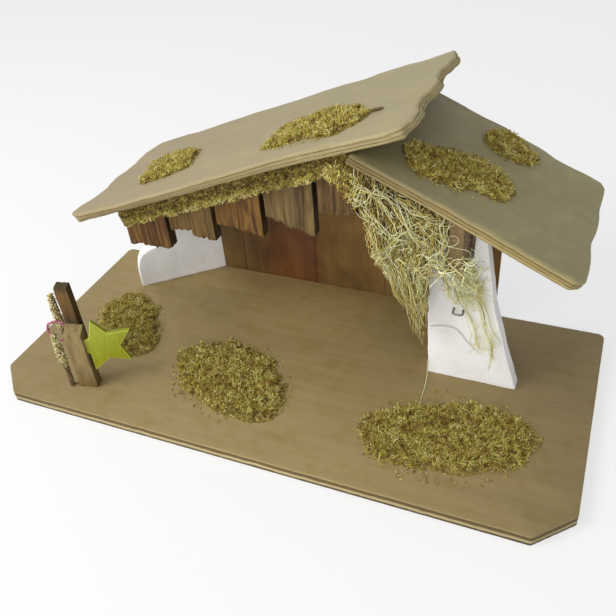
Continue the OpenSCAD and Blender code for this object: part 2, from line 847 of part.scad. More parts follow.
// Star whose fifth point is sawn off where it is glued to the stake's right side
module star() {
    step = 180 / star_points;
    color([0.72, 0.76, 0.14])
        difference() {
            translate([star_x, star_y, base_t + star_h])
                rotate([0, 0, star_turn])
                    slab(-star_t / 2, star_t / 2)
                        polygon([for (i = [0:2 * star_points - 1])
                            let(
                                r = i % 2 == 0 ? star_r : star_r * star_notch_share,
                                a = star_first_angle + step * i
                            )
                            [r * cos(a), r * sin(a)]]);
            front_stake_place()
                slab(-2 * star_r, 2 * star_r)
                    polygon([
                        [stake_w / 2, 0],
                        [stake_w / 2 * stake_taper_share, front_stake_h],
                        [stake_w / 2 * stake_taper_share, front_stake_h + star_r],
                        [-2 * star_r, front_stake_h + star_r],
                        [-2 * star_r, 0]
                    ]);
        }
}

module cord_loop() {
    color([0.82, 0.45, 0.50])
        front_stake_place()
            translate([-stake_w / 2 - loop_d * 0.38, stake_t / 2 + loop_cord_d / 2 + fit, loop_h])
                rotate([90, 0, 0])
                    rotate_extrude()
                        translate([loop_d / 2, 0])
                            circle(d = loop_cord_d);
}

// Hardware

hook_x = 120.5;
hook_reach = 2.5 * hook_wire_d;
hook_bend_r = 1.6 * hook_wire_d;
hook_grip = wall_t * 0.7;

module hook_place() {
    translate([hook_x, right_wall_y, base_t + hook_h])
        children();
}

module hook_hole() {
    hook_place()
        translate([0, -cut, 0])
            rotate([-90, 0, 0])
                cylinder(d = hook_wire_d + 2 * fit, h = hook_grip + cut + fit);
}

// Wire bent out of the wall, across and up at its end
module lantern_hook() {
    color(steel)
        hook_place()
            union() {
                translate([0, -hook_reach, 0])
                    rotate([-90, 0, 0])
                        cylinder(d = hook_wire_d, h = hook_reach + hook_grip);
                translate([hook_bend_r, -hook_reach, 0])
                    rotate([0, 0, 180])
                        rotate_extrude(angle = 90)
                            translate([hook_bend_r, 0])
                                circle(d = hook_wire_d);
                translate([hook_bend_r, -hook_reach - hook_bend_r, 0])
                    rotate([0, 90, 0])
                        cylinder(d = hook_wire_d, h = hook_bend_r);
                translate([2 * hook_bend_r, -hook_reach - hook_bend_r, hook_bend_r])
                    rotate([90, 90, 0])
                        rotate_extrude(angle = 90)
                            translate([hook_bend_r, 0])
                                circle(d = hook_wire_d);
                translate([3 * hook_bend_r, -hook_reach - hook_bend_r, hook_bend_r])
                    cylinder(d = hook_wire_d, h = hook_bend_r);
            }
}

screw_head_d = 2 * screw_d;
screw_head_h = screw_d / 2;
screw_sink = 0.5;
left_screw_shares = [0.3, 0.72];
right_screw_shares = [0.2, 0.8];
screw_places = concat(
    [for (share = left_screw_shares)
        let(s = share * left_wall_len)
        [left_foot_x + s * cos(left_wall_turn) - wall_t / 2 * sin(left_wall_turn),
         left_foot_y + s * sin(left_wall_turn) + wall_t / 2 * cos(left_wall_turn)]],
    [for (share = right_screw_shares)
        [right_foot_x + share * right_foot_w, right_wall_y + wall_t / 2]]
);

module screw(extra) {
    cylinder(d = screw_head_d + 2 * extra, h = screw_sink / 2 + extra);
    translate([0, 0, screw_sink / 2])
        cylinder(d1 = screw_head_d + 2 * extra, d2 = screw_d + 2 * extra, h = screw_head_h);
    cylinder(d = screw_d + 2 * extra, h = screw_len + extra);
}

module wall_screws() {
    color(steel)
        for (place = screw_places)
            translate([place[0], place[1], screw_sink])
                screw(0);
}

module screw_holes() {
    for (place = screw_places)
        translate([place[0], place[1], 0]) {
            translate([0, 0, screw_sink])
                screw(fit);
            translate([0, 0, -cut])
                cylinder(d = screw_head_d + 2 * fit, h = screw_sink + cut + fit);
        }
}

nail_head_d = 2.2 * nail_d;
nail_head_t = 0.5 * nail_d;
nail_edge_share = 0.22;
nail_places = [for (i = [0:len(back_seam_shares) - 2], side = [nail_edge_share, 1 - nail_edge_share])
    lerp(back_x(i), back_x(i + 1), side)];

module back_nails() {
    color(steel)
        for (x = nail_places)
            translate([x, back_y + back_board_t, base_nail_z])
                rotate([90, 0, 0]) {
                    translate([0, 0, -nail_head_t])
                        cylinder(d = nail_head_d, h = nail_head_t);
                    cylinder(d = nail_d, h = nail_len);
                }
}

module nail_holes() {
    for (x = nail_places)
        translate([x, back_y + back_board_t + cut, base_nail_z])
            rotate([90, 0, 0])
                cylinder(d = nail_d + 2 * fit, h = nail_len + cut + fit);
}

base_board();
left_wall();
right_wall();
left_roof();
right_roof();
back_board(0);  // back_board_1
back_board(1);  // back_board_2
back_board(2);  // back_board_3
back_board(3);  // back_board_4
back_board(4);  // back_board_5
front_rafter();
ridge_beam();
right_purlin();
gable_board(0);  // gable_board_1
gable_board(1);  // gable_board_2
gable_board(2);  // gable_board_3
gable_board(3);  // gable_board_4
gable_board(4);  // gable_board_5
gable_board(5);  // gable_board_6
moss_fringe();
base_moss(0);  // moss_base_left
base_moss(1);  // moss_base_middle
base_moss(2);  // moss_base_right
left_roof_place() roof_moss(left_roof_moss_shares[0], left_roof_len, left_roof_moss_rims[0], 41);  // moss_roof_left_low
left_roof_place() roof_moss(left_roof_moss_shares[1], left_roof_len, left_roof_moss_rims[1], 43);  // moss_roof_left_high
right_roof_place() roof_moss(right_roof_moss_shares[0], right_roof_len, right_roof_moss_rims[0], 45);  // moss_roof_right_low
right_roof_place() roof_moss(right_roof_moss_shares[1], right_roof_len, right_roof_moss_rims[1], 47);  // moss_roof_right_high
hay_sheaf();
hay_tuft();
front_stake();
rear_stake();
front_twig();
rear_twig();
roof_twig();
star();
cord_loop();
lantern_hook();
wall_screws();
back_nails();
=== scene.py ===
# %% [markdown]
# # A wooden nativity stable
#
# The stable is a small open shed on a plywood board: two roof boards of plywood with hand-carved edges, two
# white plastered walls, a stained back wall, broken gable boards, dried moss and hay. The measured model
# comes first and stays fixed. This lesson gives its boards worn edges and real finishes, and grows the moss
# and the hay that a solid can only hint at.

# %% Load the measured model
import math

import bmesh
import bpy
import numpy as np
from mathutils import Matrix, Vector, noise
from mathutils.bvhtree import BVHTree


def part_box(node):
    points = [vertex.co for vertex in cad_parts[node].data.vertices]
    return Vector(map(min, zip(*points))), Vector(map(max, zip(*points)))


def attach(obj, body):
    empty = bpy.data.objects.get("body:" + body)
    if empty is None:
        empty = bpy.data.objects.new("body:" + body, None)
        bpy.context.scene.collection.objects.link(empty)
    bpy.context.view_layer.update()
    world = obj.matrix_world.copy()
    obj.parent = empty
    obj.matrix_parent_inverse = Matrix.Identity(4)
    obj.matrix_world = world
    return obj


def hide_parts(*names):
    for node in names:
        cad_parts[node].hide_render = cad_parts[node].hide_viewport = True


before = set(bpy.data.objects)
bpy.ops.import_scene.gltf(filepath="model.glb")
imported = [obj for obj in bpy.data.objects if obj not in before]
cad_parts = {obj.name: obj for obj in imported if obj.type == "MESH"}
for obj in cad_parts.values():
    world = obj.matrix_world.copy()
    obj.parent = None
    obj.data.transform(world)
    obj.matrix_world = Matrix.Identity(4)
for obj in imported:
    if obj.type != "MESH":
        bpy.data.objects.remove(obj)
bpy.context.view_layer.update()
print("measured pieces:", len(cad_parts))

# %% [markdown]
# ## Units and small helpers
#
# The model is in metres, and a woodworker thinks in millimetres, so the sizes of the stable are written in
# millimetres and multiplied once. The camera and the lamps stay in metres. An operator acts on all that is
# selected, so `pick` clears the selection before each one.

# %% Helpers for sizes and selection
MM = 0.001
DEG = math.pi / 180


def pick(piece):
    """Leaves only this piece selected and active."""
    if bpy.context.mode != "OBJECT":
        bpy.ops.object.mode_set(mode="OBJECT")
    bpy.ops.object.select_all(action="DESELECT")
    piece.select_set(True)
    bpy.context.view_layer.objects.active = piece
    return piece


def apply_all(piece):
    """Applies the modifiers of a piece in their order."""
    pick(piece)
    for modifier in list(piece.modifiers):
        bpy.ops.object.modifier_apply(modifier=modifier.name)


print("one millimetre is", MM, "m")

# %% [markdown]
# ## Camera
#
# The photograph was taken from the front right, from well above the roof, with the camera tilted a little.
# The place and the tilt were worked out from the corners of the base board and the roof boards.

# %% Camera
AZIMUTH, ELEVATION, TILT = 25.54 * DEG, 37.94 * DEG, -5.26 * DEG
level = math.cos(ELEVATION)
back = Vector((math.sin(AZIMUTH) * level, -math.cos(AZIMUTH) * level, math.sin(ELEVATION)))
across = (-back).cross(Vector((0, 0, 1))).normalized()
upward = across.cross(-back)
right = across * math.cos(TILT) + upward * math.sin(TILT)
top = upward * math.cos(TILT) - across * math.sin(TILT)

bpy.ops.object.camera_add(location=(0.1994, -0.3851, 0.3991))
camera = bpy.context.object
camera.name = "photo_camera"
camera.rotation_euler = Matrix((right, top, back)).transposed().to_euler()
camera.data.sensor_width = 36
camera.data.lens = 42.37
camera.data.clip_start = 0.01
camera.data.clip_end = 50
bpy.context.scene.camera = camera
bpy.context.scene.view_settings.view_transform = "Standard"
print("camera at", [round(c, 4) for c in camera.location])

# %% [markdown]
# ## Finishes
#
# Each finish is a node tree on Object coordinates, in metres, so a grain keeps its real size on every
# piece. One small function adds a node, sets it up and links it. Colours are written as they look on a
# screen, in hex, and turned to the linear values that Blender computes with.


# %% Colour and node helpers
def linear(hex_colour):
    """The linear RGBA of an sRGB hex colour such as '#8b7355'."""
    parts = [int(hex_colour[i:i + 2], 16) / 255 for i in (1, 3, 5)]
    return [p / 12.92 if p <= 0.04045 else ((p + 0.055) / 1.055) ** 2.4 for p in parts] + [1]


def add(finish, kind, inputs=None, stops=None, **settings):
    """Adds a shader node with its settings, its inputs and, on a ramp, its colour stops.

    An input is a value, a hex colour or a socket to link.
    """
    node = finish.node_tree.nodes.new("ShaderNode" + kind)
    for name, value in settings.items():
        setattr(node, name, value)
    if stops:
        marks = node.color_ramp.elements
        while len(marks) < len(stops):
            marks.new(0.5)
        for mark, (place, colour) in zip(marks, stops):
            mark.position = place
            mark.color = linear(colour) if isinstance(colour, str) else (colour, colour, colour, 1)
    for name, value in (inputs or {}).items():
        socket = node.inputs[name]
        if isinstance(value, bpy.types.NodeSocket):
            finish.node_tree.links.new(value, socket)
        else:
            socket.default_value = linear(value) if isinstance(value, str) else value
    return node


def new_finish(name):
    """An empty finish, ready for its nodes."""
    finish = bpy.data.materials.new(name)
    finish.use_nodes = True
    finish.node_tree.nodes.clear()
    return finish


print("white is", linear("#ffffff"))

# %% [markdown]
# ## Wood
#
# The boards are softwood plywood, rubbed with a thin brown stain. The stain sinks into the soft early wood,
# so the grain shows as long faint streaks, and the three plies show at the edges. The grain is a noise that
# is drawn out along the board: its lumps are 60 mm long and 0.9 mm wide. `depth` runs from 0 on the top
# face to 1 on the lower one, and gives each ply its colour.


# %% Plywood
LEFT_PITCH, RIGHT_PITCH = 20.8, -24.7
BASE_THICK, ROOF_THICK = 10, 8
WASH_REACH = 220 * MM
MULTIPLY = {"data_type": "RGBA", "blend_type": "MULTIPLY"}


def pitch_up(pitch):
    """The upward direction of a board that climbs to the right at this pitch in degrees."""
    return Vector((-math.sin(pitch * DEG), 0, math.cos(pitch * DEG)))


def highest(node, up):
    """How far the node reaches along a direction."""
    return max(corner.co.dot(up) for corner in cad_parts[node].data.vertices)


def per_size(*sizes):
    """The scale of a pattern whose lumps have these sizes, in millimetres along x, y and z."""
    return [1 / (size * MM) for size in sizes]


def plywood(name, node, pitch, thickness, plies, streak, blotch, stain_and_light_washes, waver=0.35):
    """Stained plywood for a board at this pitch in degrees and of this thickness in millimetres.

    Plies are the colour stops from its top face down. Streak, blotch and each wash multiply that colour. A
    wash runs along a direction, or grows round a centre with the direction as its stretch. A wash is the
    board's own stain, or painted light and shade, or both.
    """
    finish = new_finish(name)
    up = pitch_up(pitch)
    place = add(finish, "TexCoord").outputs["Object"]
    along = add(finish, "Mapping", {"Vector": place, "Rotation": (0, pitch * DEG, 0)}).outputs[0]
    drawn = add(finish, "Mapping", {"Vector": along, "Scale": per_size(60, 0.9, 0.9)})
    grain = add(finish, "TexNoise", {"Vector": drawn.outputs[0], "Scale": 1.0, "Detail": 4.0,
                                     "Roughness": 0.6})
    wide = add(finish, "Mapping", {"Vector": along, "Scale": per_size(150, 28, 28)})
    cloud = add(finish, "TexNoise", {"Vector": wide.outputs[0], "Scale": 1.0, "Detail": 3.0,
                                     "Distortion": 0.6})
    figure = add(finish, "Mapping", {"Vector": along, "Scale": per_size(190, 9, 9)})
    rings = add(finish, "TexWave", {"Vector": figure.outputs[0], "Scale": 0.3, "Distortion": 9.0,
                                    "Detail": 4.0, "Detail Scale": 1.2}, bands_direction="Y")
    height = add(finish, "VectorMath", {0: place, 1: up}, operation="DOT_PRODUCT")
    wobble = add(finish, "TexNoise", {"Vector": along, "Scale": 1 / (14 * MM), "Detail": 2.0})
    lift = add(finish, "MapRange", {"Value": wobble.outputs[0], "From Min": 0.3, "From Max": 0.7,
                                    "To Min": -waver * MM, "To Max": waver * MM})
    drop = add(finish, "Math", {0: highest(node, up), 1: height.outputs["Value"]}, operation="SUBTRACT")
    shifted = add(finish, "Math", {0: drop.outputs[0], 1: lift.outputs[0]}, operation="ADD")
    depth = add(finish, "Math", {0: shifted.outputs[0], 1: 1 / (thickness * MM)}, operation="MULTIPLY")
    colour = add(finish, "ValToRGB", {"Fac": depth.outputs[0]}, stops=plies).outputs[0]
    for pattern, stops, strength in (
            (grain, [(0.28, streak[0]), (0.72, streak[1])], 1.0),
            (cloud, [(0.3, blotch[0]), (0.7, blotch[1])], 1.0),
            (rings, [(0.0, streak[0]), (0.55, 1.0), (1.0, streak[1])], 0.4)):
        tint = add(finish, "ValToRGB", {"Fac": pattern.outputs[0]}, stops=stops)
        colour = add(finish, "Mix", {"Factor": strength, 6: colour, 7: tint.outputs[0]},
                     **MULTIPLY).outputs[2]
    for way, centre, stops in stain_and_light_washes:
        if centre:
            away = add(finish, "VectorMath", {0: place, 1: centre}, operation="SUBTRACT")
            scaled = add(finish, "VectorMath", {0: away.outputs[0], 1: way}, operation="MULTIPLY")
            far = add(finish, "VectorMath", {0: scaled.outputs[0]}, operation="LENGTH")
        else:
            far = add(finish, "VectorMath", {0: place, 1: way}, operation="DOT_PRODUCT")
        slow = add(finish, "MapRange", {"Value": far.outputs["Value"], "From Min": -WASH_REACH,
                                        "From Max": WASH_REACH})
        tint = add(finish, "ValToRGB", {"Fac": slow.outputs[0]}, stops=stops)
        colour = add(finish, "Mix", {"Factor": 1.0, 6: colour, 7: tint.outputs[0]}, **MULTIPLY).outputs[2]
    relief = add(finish, "Bump", {"Height": grain.outputs[0], "Strength": 0.35, "Distance": 0.25 * MM})
    sheen = add(finish, "MapRange", {"Value": grain.outputs[0], "To Min": 0.52, "To Max": 0.74})
    shader = add(finish, "BsdfPrincipled", {"Base Color": colour, "Roughness": sheen.outputs[0],
                                            "IOR": 1.45, "Normal": relief.outputs[0]})
    add(finish, "OutputMaterial", {"Surface": shader.outputs[0]})
    return finish


flat, left_up, right_up = Vector((0, 0, 1)), pitch_up(LEFT_PITCH), pitch_up(RIGHT_PITCH)
base_wood = plywood(
    "stained_plywood_base", "base_board", 0, BASE_THICK,
    plies=[(0.0, "#9e8a5b"), (0.035, "#98834f"), (0.06, "#b09c6c"), (0.13, "#a89464"), (0.19, "#6f5a2c"),
           (0.34, "#675226"), (0.48, "#725c2e"), (0.53, "#bfae7c"), (0.73, "#c9b787"), (0.78, "#584a26"),
           (0.94, "#605229"), (1.0, "#65572d")],
    streak=(0.92, 1.05), blotch=(0.92, 1.06),
    # Darker towards both ends, most to the right: partly the stain, partly painted shade of the roof and the
    # lamp's fall-off.
    stain_and_light_washes=[((1, 0.35, 0), None, [(0.0, 0.82), (0.1, 0.9), (0.25, 0.96), (0.5, 0.98), (0.75, 0.88),
                                  (0.88, 0.79), (0.93, 0.75), (1.0, 0.68)]),
            # Darker along the front edge.
            ((0, 1, 0), None, [(0.26, 0.93), (0.4, 0.99), (1.0, 1.0)]),
            # A painted pool of light round a spot near the back wall, brightening the shaded floor under the
            # roof.
            ((1, 1.7, 0), (-20 * MM, 100 * MM, 10 * MM),
             [(0.5, 1.85), (0.6, 1.61), (0.7, 1.27), (0.8, 1.0)])])
left_roof_wood = plywood(
    "stained_plywood_left_roof", "left_roof", LEFT_PITCH, ROOF_THICK,
    plies=[(0.0, "#ab9f7c"), (0.08, "#b1a37a"), (0.26, "#aa9a6c"), (0.31, "#7a6842"), (0.36, "#a89869"),
           (0.6, "#ad9d6f"), (0.65, "#7d6a42"), (0.7, "#b3a374"), (0.85, "#a09165"), (1.0, "#968759")],
    streak=(0.95, 1.03), blotch=(0.94, 1.04),
    stain_and_light_washes=[((1, 0, 0), None, [(0.0, "#e0d8d4"), (0.35, "#eeeae6"), (0.8, "#f8fbf6"), (1.0, "#fcfffa")])],
    waver=0.7)
right_roof_wood = plywood(
    "stained_plywood_right_roof", "right_roof", RIGHT_PITCH, ROOF_THICK,
    plies=[(0.0, "#8f8660"), (0.06, "#958c64"), (0.26, "#ac9a66"), (0.31, "#6c5b34"), (0.38, "#93804c"),
           (0.6, "#998752"), (0.66, "#6f5f38"), (0.71, "#b8a672"), (0.85, "#a08d5a"), (1.0, "#948150")],
    streak=(0.95, 1.04), blotch=(0.93, 1.06),
    # Painted shadow of the left board: darker towards the ridge.
    stain_and_light_washes=[((1, 0, 0), None, [(0.6, "#b4b0a2"), (0.8, 1.0), (1.0, 1.04)])],
    waver=0.7)
print("plywood finishes:", base_wood.name, left_roof_wood.name, right_roof_wood.name)

# %% [markdown]
# ## Worn boards
#
# A sawn and hand-carved board has no sharp edge. Its outline is read where a plane cuts the measured board,
# drawn again in steps of about a millimetre, and lowered ring by ring round the edge. On the roof boards
# each of the three plies has its own cut. Each ring stands back a little from the outline, more where the
# knife took more, so the edge gets its chamfer, its plies and its small chips.


# %% Board helpers
def merged_copy(node, name):
    """A copy of a measured piece with its loose triangles merged and its flat faces made one."""
    copy = bpy.data.objects.new(name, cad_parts[node].data.copy())
    bpy.context.scene.collection.objects.link(copy)
    pick(copy)
    bpy.ops.object.mode_set(mode="EDIT")
    bpy.ops.mesh.select_all(action="SELECT")
    bpy.ops.mesh.remove_doubles(threshold=0.002 * MM)
    bpy.ops.mesh.dissolve_limited(angle_limit=0.3 * DEG)
    bpy.ops.object.mode_set(mode="OBJECT")
    bpy.ops.mesh.customdata_custom_splitnormals_clear()
    copy.data.materials.clear()
    return copy


def built(name, points, faces):
    """A new piece from its points and faces, selected."""
    mesh = bpy.data.meshes.new(name)
    mesh.from_pydata(points, [], faces)
    piece = bpy.data.objects.new(name, mesh)
    bpy.context.scene.collection.objects.link(piece)
    return pick(piece)


def lumps(points, size, shift=(0, 0, 0)):
    """Smooth noise at each point, with lumps of this size in millimetres."""
    return np.array([noise.noise(Vector(p) / (size * MM) + Vector(shift)) for p in points])


def stand_in(piece, slot, finish, *nodes):
    """The piece takes its finish, rides on the stable and stands for these measured pieces."""
    piece.data.materials.clear()
    piece.data.materials.append(finish)
    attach(piece, "root")
    if nodes:
        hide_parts(*nodes)
    print(piece.name, "faces:", len(piece.data.polygons))
    return piece


def resample(points, step):
    """A closed outline drawn again in even steps."""
    points = np.array(points)
    ends = np.vstack([points, points[:1]])
    lengths = np.linalg.norm(np.diff(ends, axis=0), axis=1)
    reach = np.concatenate([[0], np.cumsum(lengths)])
    marks = np.arange(0, reach[-1], step)
    return np.stack([np.interp(marks, reach, ends[:, k]) for k in range(3)], axis=1)


def smooth_loop(values, half):
    """A closed row of values, each averaged with its neighbours."""
    return sum(np.roll(values, k, axis=0) for k in range(-half, half + 1)) / (2 * half + 1)


def rim(board, up, depth):
    """Corner points, in order, round the board where a plane cuts it at this depth under its top face."""
    shape = bmesh.new()
    shape.from_mesh(board.data)
    level = max(v.co.dot(up) for v in shape.verts) - depth
    bmesh.ops.bisect_plane(shape, geom=shape.verts[:] + shape.edges[:] + shape.faces[:], plane_co=up * level,
                           plane_no=up, clear_outer=True)
    edges = [e for e in shape.edges if len(e.link_faces) == 1]
    loops = []
    while edges:
        first = edges.pop()
        loop = list(first.verts)
        while loop[-1] is not loop[0]:
            step = next(e for e in edges if loop[-1] in e.verts)
            edges.remove(step)
            loop.append(step.other_vert(loop[-1]))
        loops.append([v.co.copy() for v in loop[:-1]])
    shape.free()
    longest = max(loops, key=lambda points: sum((a - b).length for a, b in zip(points, points[1:])))
    area = sum((a.cross(b) for a, b in zip(longest, longest[1:] + longest[:1])), Vector())
    return longest if area.dot(up) > 0 else longest[::-1]


def nearest(points, line):
    """For each point the nearest place on a finely drawn outline."""
    gaps = np.linalg.norm(points[:, None] - line[None], axis=2)
    return line[gaps.argmin(axis=1)]


def carved_board(node, up, plies, profile, wander, seed, soften=1):
    """A board with a worn edge.

    profile holds the depth, the set-back and the share of the wander for each ring, in millimetres.
    """
    solid = merged_copy(node, node + "_outline")
    thick = profile[-1][0]
    raised = np.array(up)
    outlines = []
    for ply in range(plies):
        line = resample(rim(solid, up, (ply + 0.3) * thick / plies * MM), 1.0 * MM if ply == 0 else 0.25 * MM)
        if ply:
            line = nearest(outlines[0], line - ((line - outlines[0][0]) @ raised)[:, None] * raised)
        outlines.append(smooth_loop(line, 1 if ply else soften))
    outlines = [line + (highest(node, up) - line @ raised)[:, None] * raised for line in outlines]
    along = smooth_loop(np.roll(outlines[0], -1, axis=0) - np.roll(outlines[0], 1, axis=0), 2)
    inward = np.cross(raised, along)
    inward /= np.linalg.norm(inward, axis=1)[:, None]
    count = len(along)
    rings = []
    for level, (depth, back_off, share) in enumerate(profile):
        ply = min(int(depth / thick * plies), plies - 1)
        outline = outlines[ply]
        cut = lumps(outline, 26, (seed + ply * 7.3, 0, 0))
        chip = lumps(outline, 4, (0, level * 0.35, seed + ply))
        set_back = np.maximum(back_off * MM + wander * MM * share * np.maximum(cut + 0.1, 0)
                              + 0.2 * MM * chip, 0)
        rings.append(outline + inward * set_back[:, None] - raised * depth * MM)
    points = np.vstack(rings)
    faces = []
    for upper in range(0, (len(rings) - 1) * count, count):
        lower = upper + count
        for i in range(count):
            following = (i + 1) % count
            faces.append([upper + i, lower + i, lower + following, upper + following])
    faces.append(list(range(count)))
    faces.append([(len(rings) - 1) * count + i for i in range(count - 1, -1, -1)])
    bpy.data.objects.remove(solid)
    board = built(node + "_worn", [tuple(p) for p in points], faces)
    bpy.ops.object.shade_smooth_by_angle(angle=35 * DEG)
    return board


print("measured boards:", [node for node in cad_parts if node.endswith(("board", "roof"))])

# %% Base board and roof boards
base_profile = [(0, 0.7, 0.3), (0.2, 0.2, 0.2), (0.7, 0, 0.1), (2.2, 0, 0), (4.7, 0.05, 0), (5.0, 0.3, 0.3),
                (5.3, 0.05, 0), (7.4, 0.05, 0), (7.6, 0.35, 0.3), (7.8, 0.05, 0), (9.4, 0, 0), (10, 0.5, 0.3)]
stand_in(carved_board("base_board", flat, 1, base_profile, 0.8, 3), "base_plywood", base_wood,
         "base_board")

roof_profile = [(0, 1.5, 1.3), (0.2, 0.9, 1), (0.7, 0.35, 0.6), (1.4, 0, 0.2), (2.3, 0, 0.1), (2.6, 0.4, 0.2),
                (2.9, 0, 0.1), (5.0, 0, 0.1), (5.3, 0.5, 0.2), (5.6, 0, 0.1), (7.0, 0, 0.2), (7.7, 0.5, 0.4),
                (8, 1.1, 0.6)]
stand_in(carved_board("left_roof", left_up, 3, roof_profile, 5, 11, 2), "left_roof_plywood",
         left_roof_wood, "left_roof")
stand_in(carved_board("right_roof", right_up, 3, roof_profile, 2.6, 19, 2), "right_roof_plywood",
         right_roof_wood, "right_roof")

# %% [markdown]
# ## Plaster walls
#
# The two walls are thick white plaster over a wooden core, drawn off with a knife, so the faces are almost
# flat but never quite, and the corners are round. A voxel remesh gives an even skin of small faces, a
# little smoothing rounds the corners, and three noises push the skin in and out by a few tenths of a
# millimetre.


# %% Plaster
def remeshed(node, name, voxel, soften):
    """A copy of a measured piece with an even skin of small faces and softened corners."""
    piece = merged_copy(node, name)
    piece.data.remesh_voxel_size = voxel * MM
    piece.data.use_remesh_preserve_volume = True
    pick(piece)
    bpy.ops.object.voxel_remesh()
    if soften:
        piece.modifiers.new("soften", "SMOOTH").iterations = soften
        apply_all(piece)
    bpy.ops.object.shade_smooth()
    return piece


def push(piece, amount):
    """Moves each point along its normal by amount(place, normal), in millimetres."""
    mesh = piece.data
    places = [(p.co.copy(), n.vector.copy()) for p, n in zip(mesh.vertices, mesh.vertex_normals)]
    moved = [tuple(place + normal * (amount(place, normal) * MM)) for place, normal in places]
    mesh.vertices.foreach_set("co", np.array(moved).ravel())
    mesh.update()


def ripple(place, size, shift=0.0, stretch=(1, 1, 1)):
    """Smooth noise from about -1 to 1, with lumps of this size in millimetres, drawn out by stretch."""
    stretched = Vector((place.x / stretch[0], place.y / stretch[1], place.z / stretch[2]))
    return noise.noise(stretched / (size * MM) + Vector((shift, shift * 1.7, shift * 0.6)))


def trowelled(place, normal):
    """How far the knife left the skin out or in, in millimetres."""
    return 0.34 * ripple(place, 17, 4) + 0.16 * ripple(place, 5, 9) + 0.05 * ripple(place, 1.8, 2)


plaster = new_finish("white_lime_plaster")
spot = add(plaster, "TexCoord").outputs["Object"]
grit = add(plaster, "TexNoise", {"Vector": spot, "Scale": 1 / (0.8 * MM), "Detail": 3.0})
stain = add(plaster, "TexNoise", {"Vector": spot, "Scale": 1 / (30 * MM), "Detail": 4.0, "Roughness": 0.6})
tint = add(plaster, "ValToRGB", {"Fac": stain.outputs[0]},
           stops=[(0.3, "#f0f0ee"), (0.5, "#f8f8f6"), (0.75, "#fbfbfa")])
# A thin grey painted shadow along the right wall's raised line, read from the seam number.
seam_shade = add(plaster, "Attribute", attribute_name="seam")
seam_shadow_tint = add(plaster, "ValToRGB", {"Fac": seam_shade.outputs["Fac"]}, stops=[(0.0, 1.0), (1.0, "#c6c4bd")])
shaded_plaster = add(plaster, "Mix", {"Factor": 1.0, 6: tint.outputs[0], 7: seam_shadow_tint.outputs[0]}, **MULTIPLY)
relief = add(plaster, "Bump", {"Height": grit.outputs[0], "Strength": 0.5, "Distance": 0.2 * MM})
shader = add(plaster, "BsdfPrincipled", {"Base Color": shaded_plaster.outputs[2], "Roughness": 0.88, "IOR": 1.5,
                                         "Normal": relief.outputs[0]})
add(plaster, "OutputMaterial", {"Surface": shader.outputs[0]})

left_plaster = remeshed("left_wall", "left_wall_plaster", 1.1, 4)
push(left_plaster, trowelled)
stand_in(left_plaster, "white_plaster", plaster, "left_wall")

# %% [markdown]
# A thin raised line runs over the right wall where a seam of the plaster lifted. It is the same skin: every
# point near the line is pushed out, so the line ends softly in the wall. One small lump sits above it.

# %% Right wall with its raised line
right_plaster = remeshed("right_wall", "right_wall_plaster", 0.65, 6)
seam_line = [Vector((x * MM, 0, z * MM)) for x, z in
             [(104.9, 56.5), (110, 58.4), (114.4, 58.9), (119, 59.0), (123.2, 57.9), (127.5, 53.5),
              (130.5, 49.2), (134.2, 45.2), (138, 41.6), (141.8, 38.9)]]
LUMP_X, LUMP_Z = 149.1 * MM, 99.3 * MM


def tell(piece, name, values, domain="POINT"):
    """Gives each point or face of a piece a number that its finish can read."""
    piece.data.attributes.new(name, "FLOAT", domain).data.foreach_set("value", values)


def near_line(place):
    """Distance in millimetres from the raised line, seen from the front."""
    seen = Vector((place.x, 0, place.z))
    best = 100 * MM
    for a, b in zip(seam_line, seam_line[1:]):
        share = min(max((seen - a).dot(b - a) / (b - a).length_squared, 0), 1)
        best = min(best, (a.lerp(b, share) - seen).length)
    return best / MM


def trowelled_with_line(place, normal):
    """The same skin with the raised line on its front and the lump."""
    raised = 0.55 * math.exp(-(near_line(place) / 0.5) ** 2) if normal.y < -0.6 else 0
    lump = 0.9 * math.exp(-((place - Vector((LUMP_X, place.y, LUMP_Z))).length / (3 * MM)) ** 2)
    return trowelled(place, normal) + raised + lump


push(right_plaster, trowelled_with_line)
# The seam number places the painted shadow: a thin band on both sides of the raised line, on the front face
# only, fading out towards the wall's right edge.
tell(right_plaster, "seam", [
    math.exp(-((near_line(v.co) - 0.3) / 0.45) ** 2) * (n.vector.y < -0.5) * min((143.5 - v.co.x / MM) / 7, 1)
    for v, n in zip(right_plaster.data.vertices, right_plaster.data.vertex_normals)])
stand_in(right_plaster, "white_plaster", plaster, "right_wall")

# %% [markdown]
# ## Stained boards and beams
#
# The back boards and the beams are rough-sawn softwood with a dark walnut stain. Rough-sawn wood is matt,
# its saw marks and its grain run along the board, and the stain goes darker in the grain and redder where
# the wood was raw. `stretch` draws the noise out along the board.


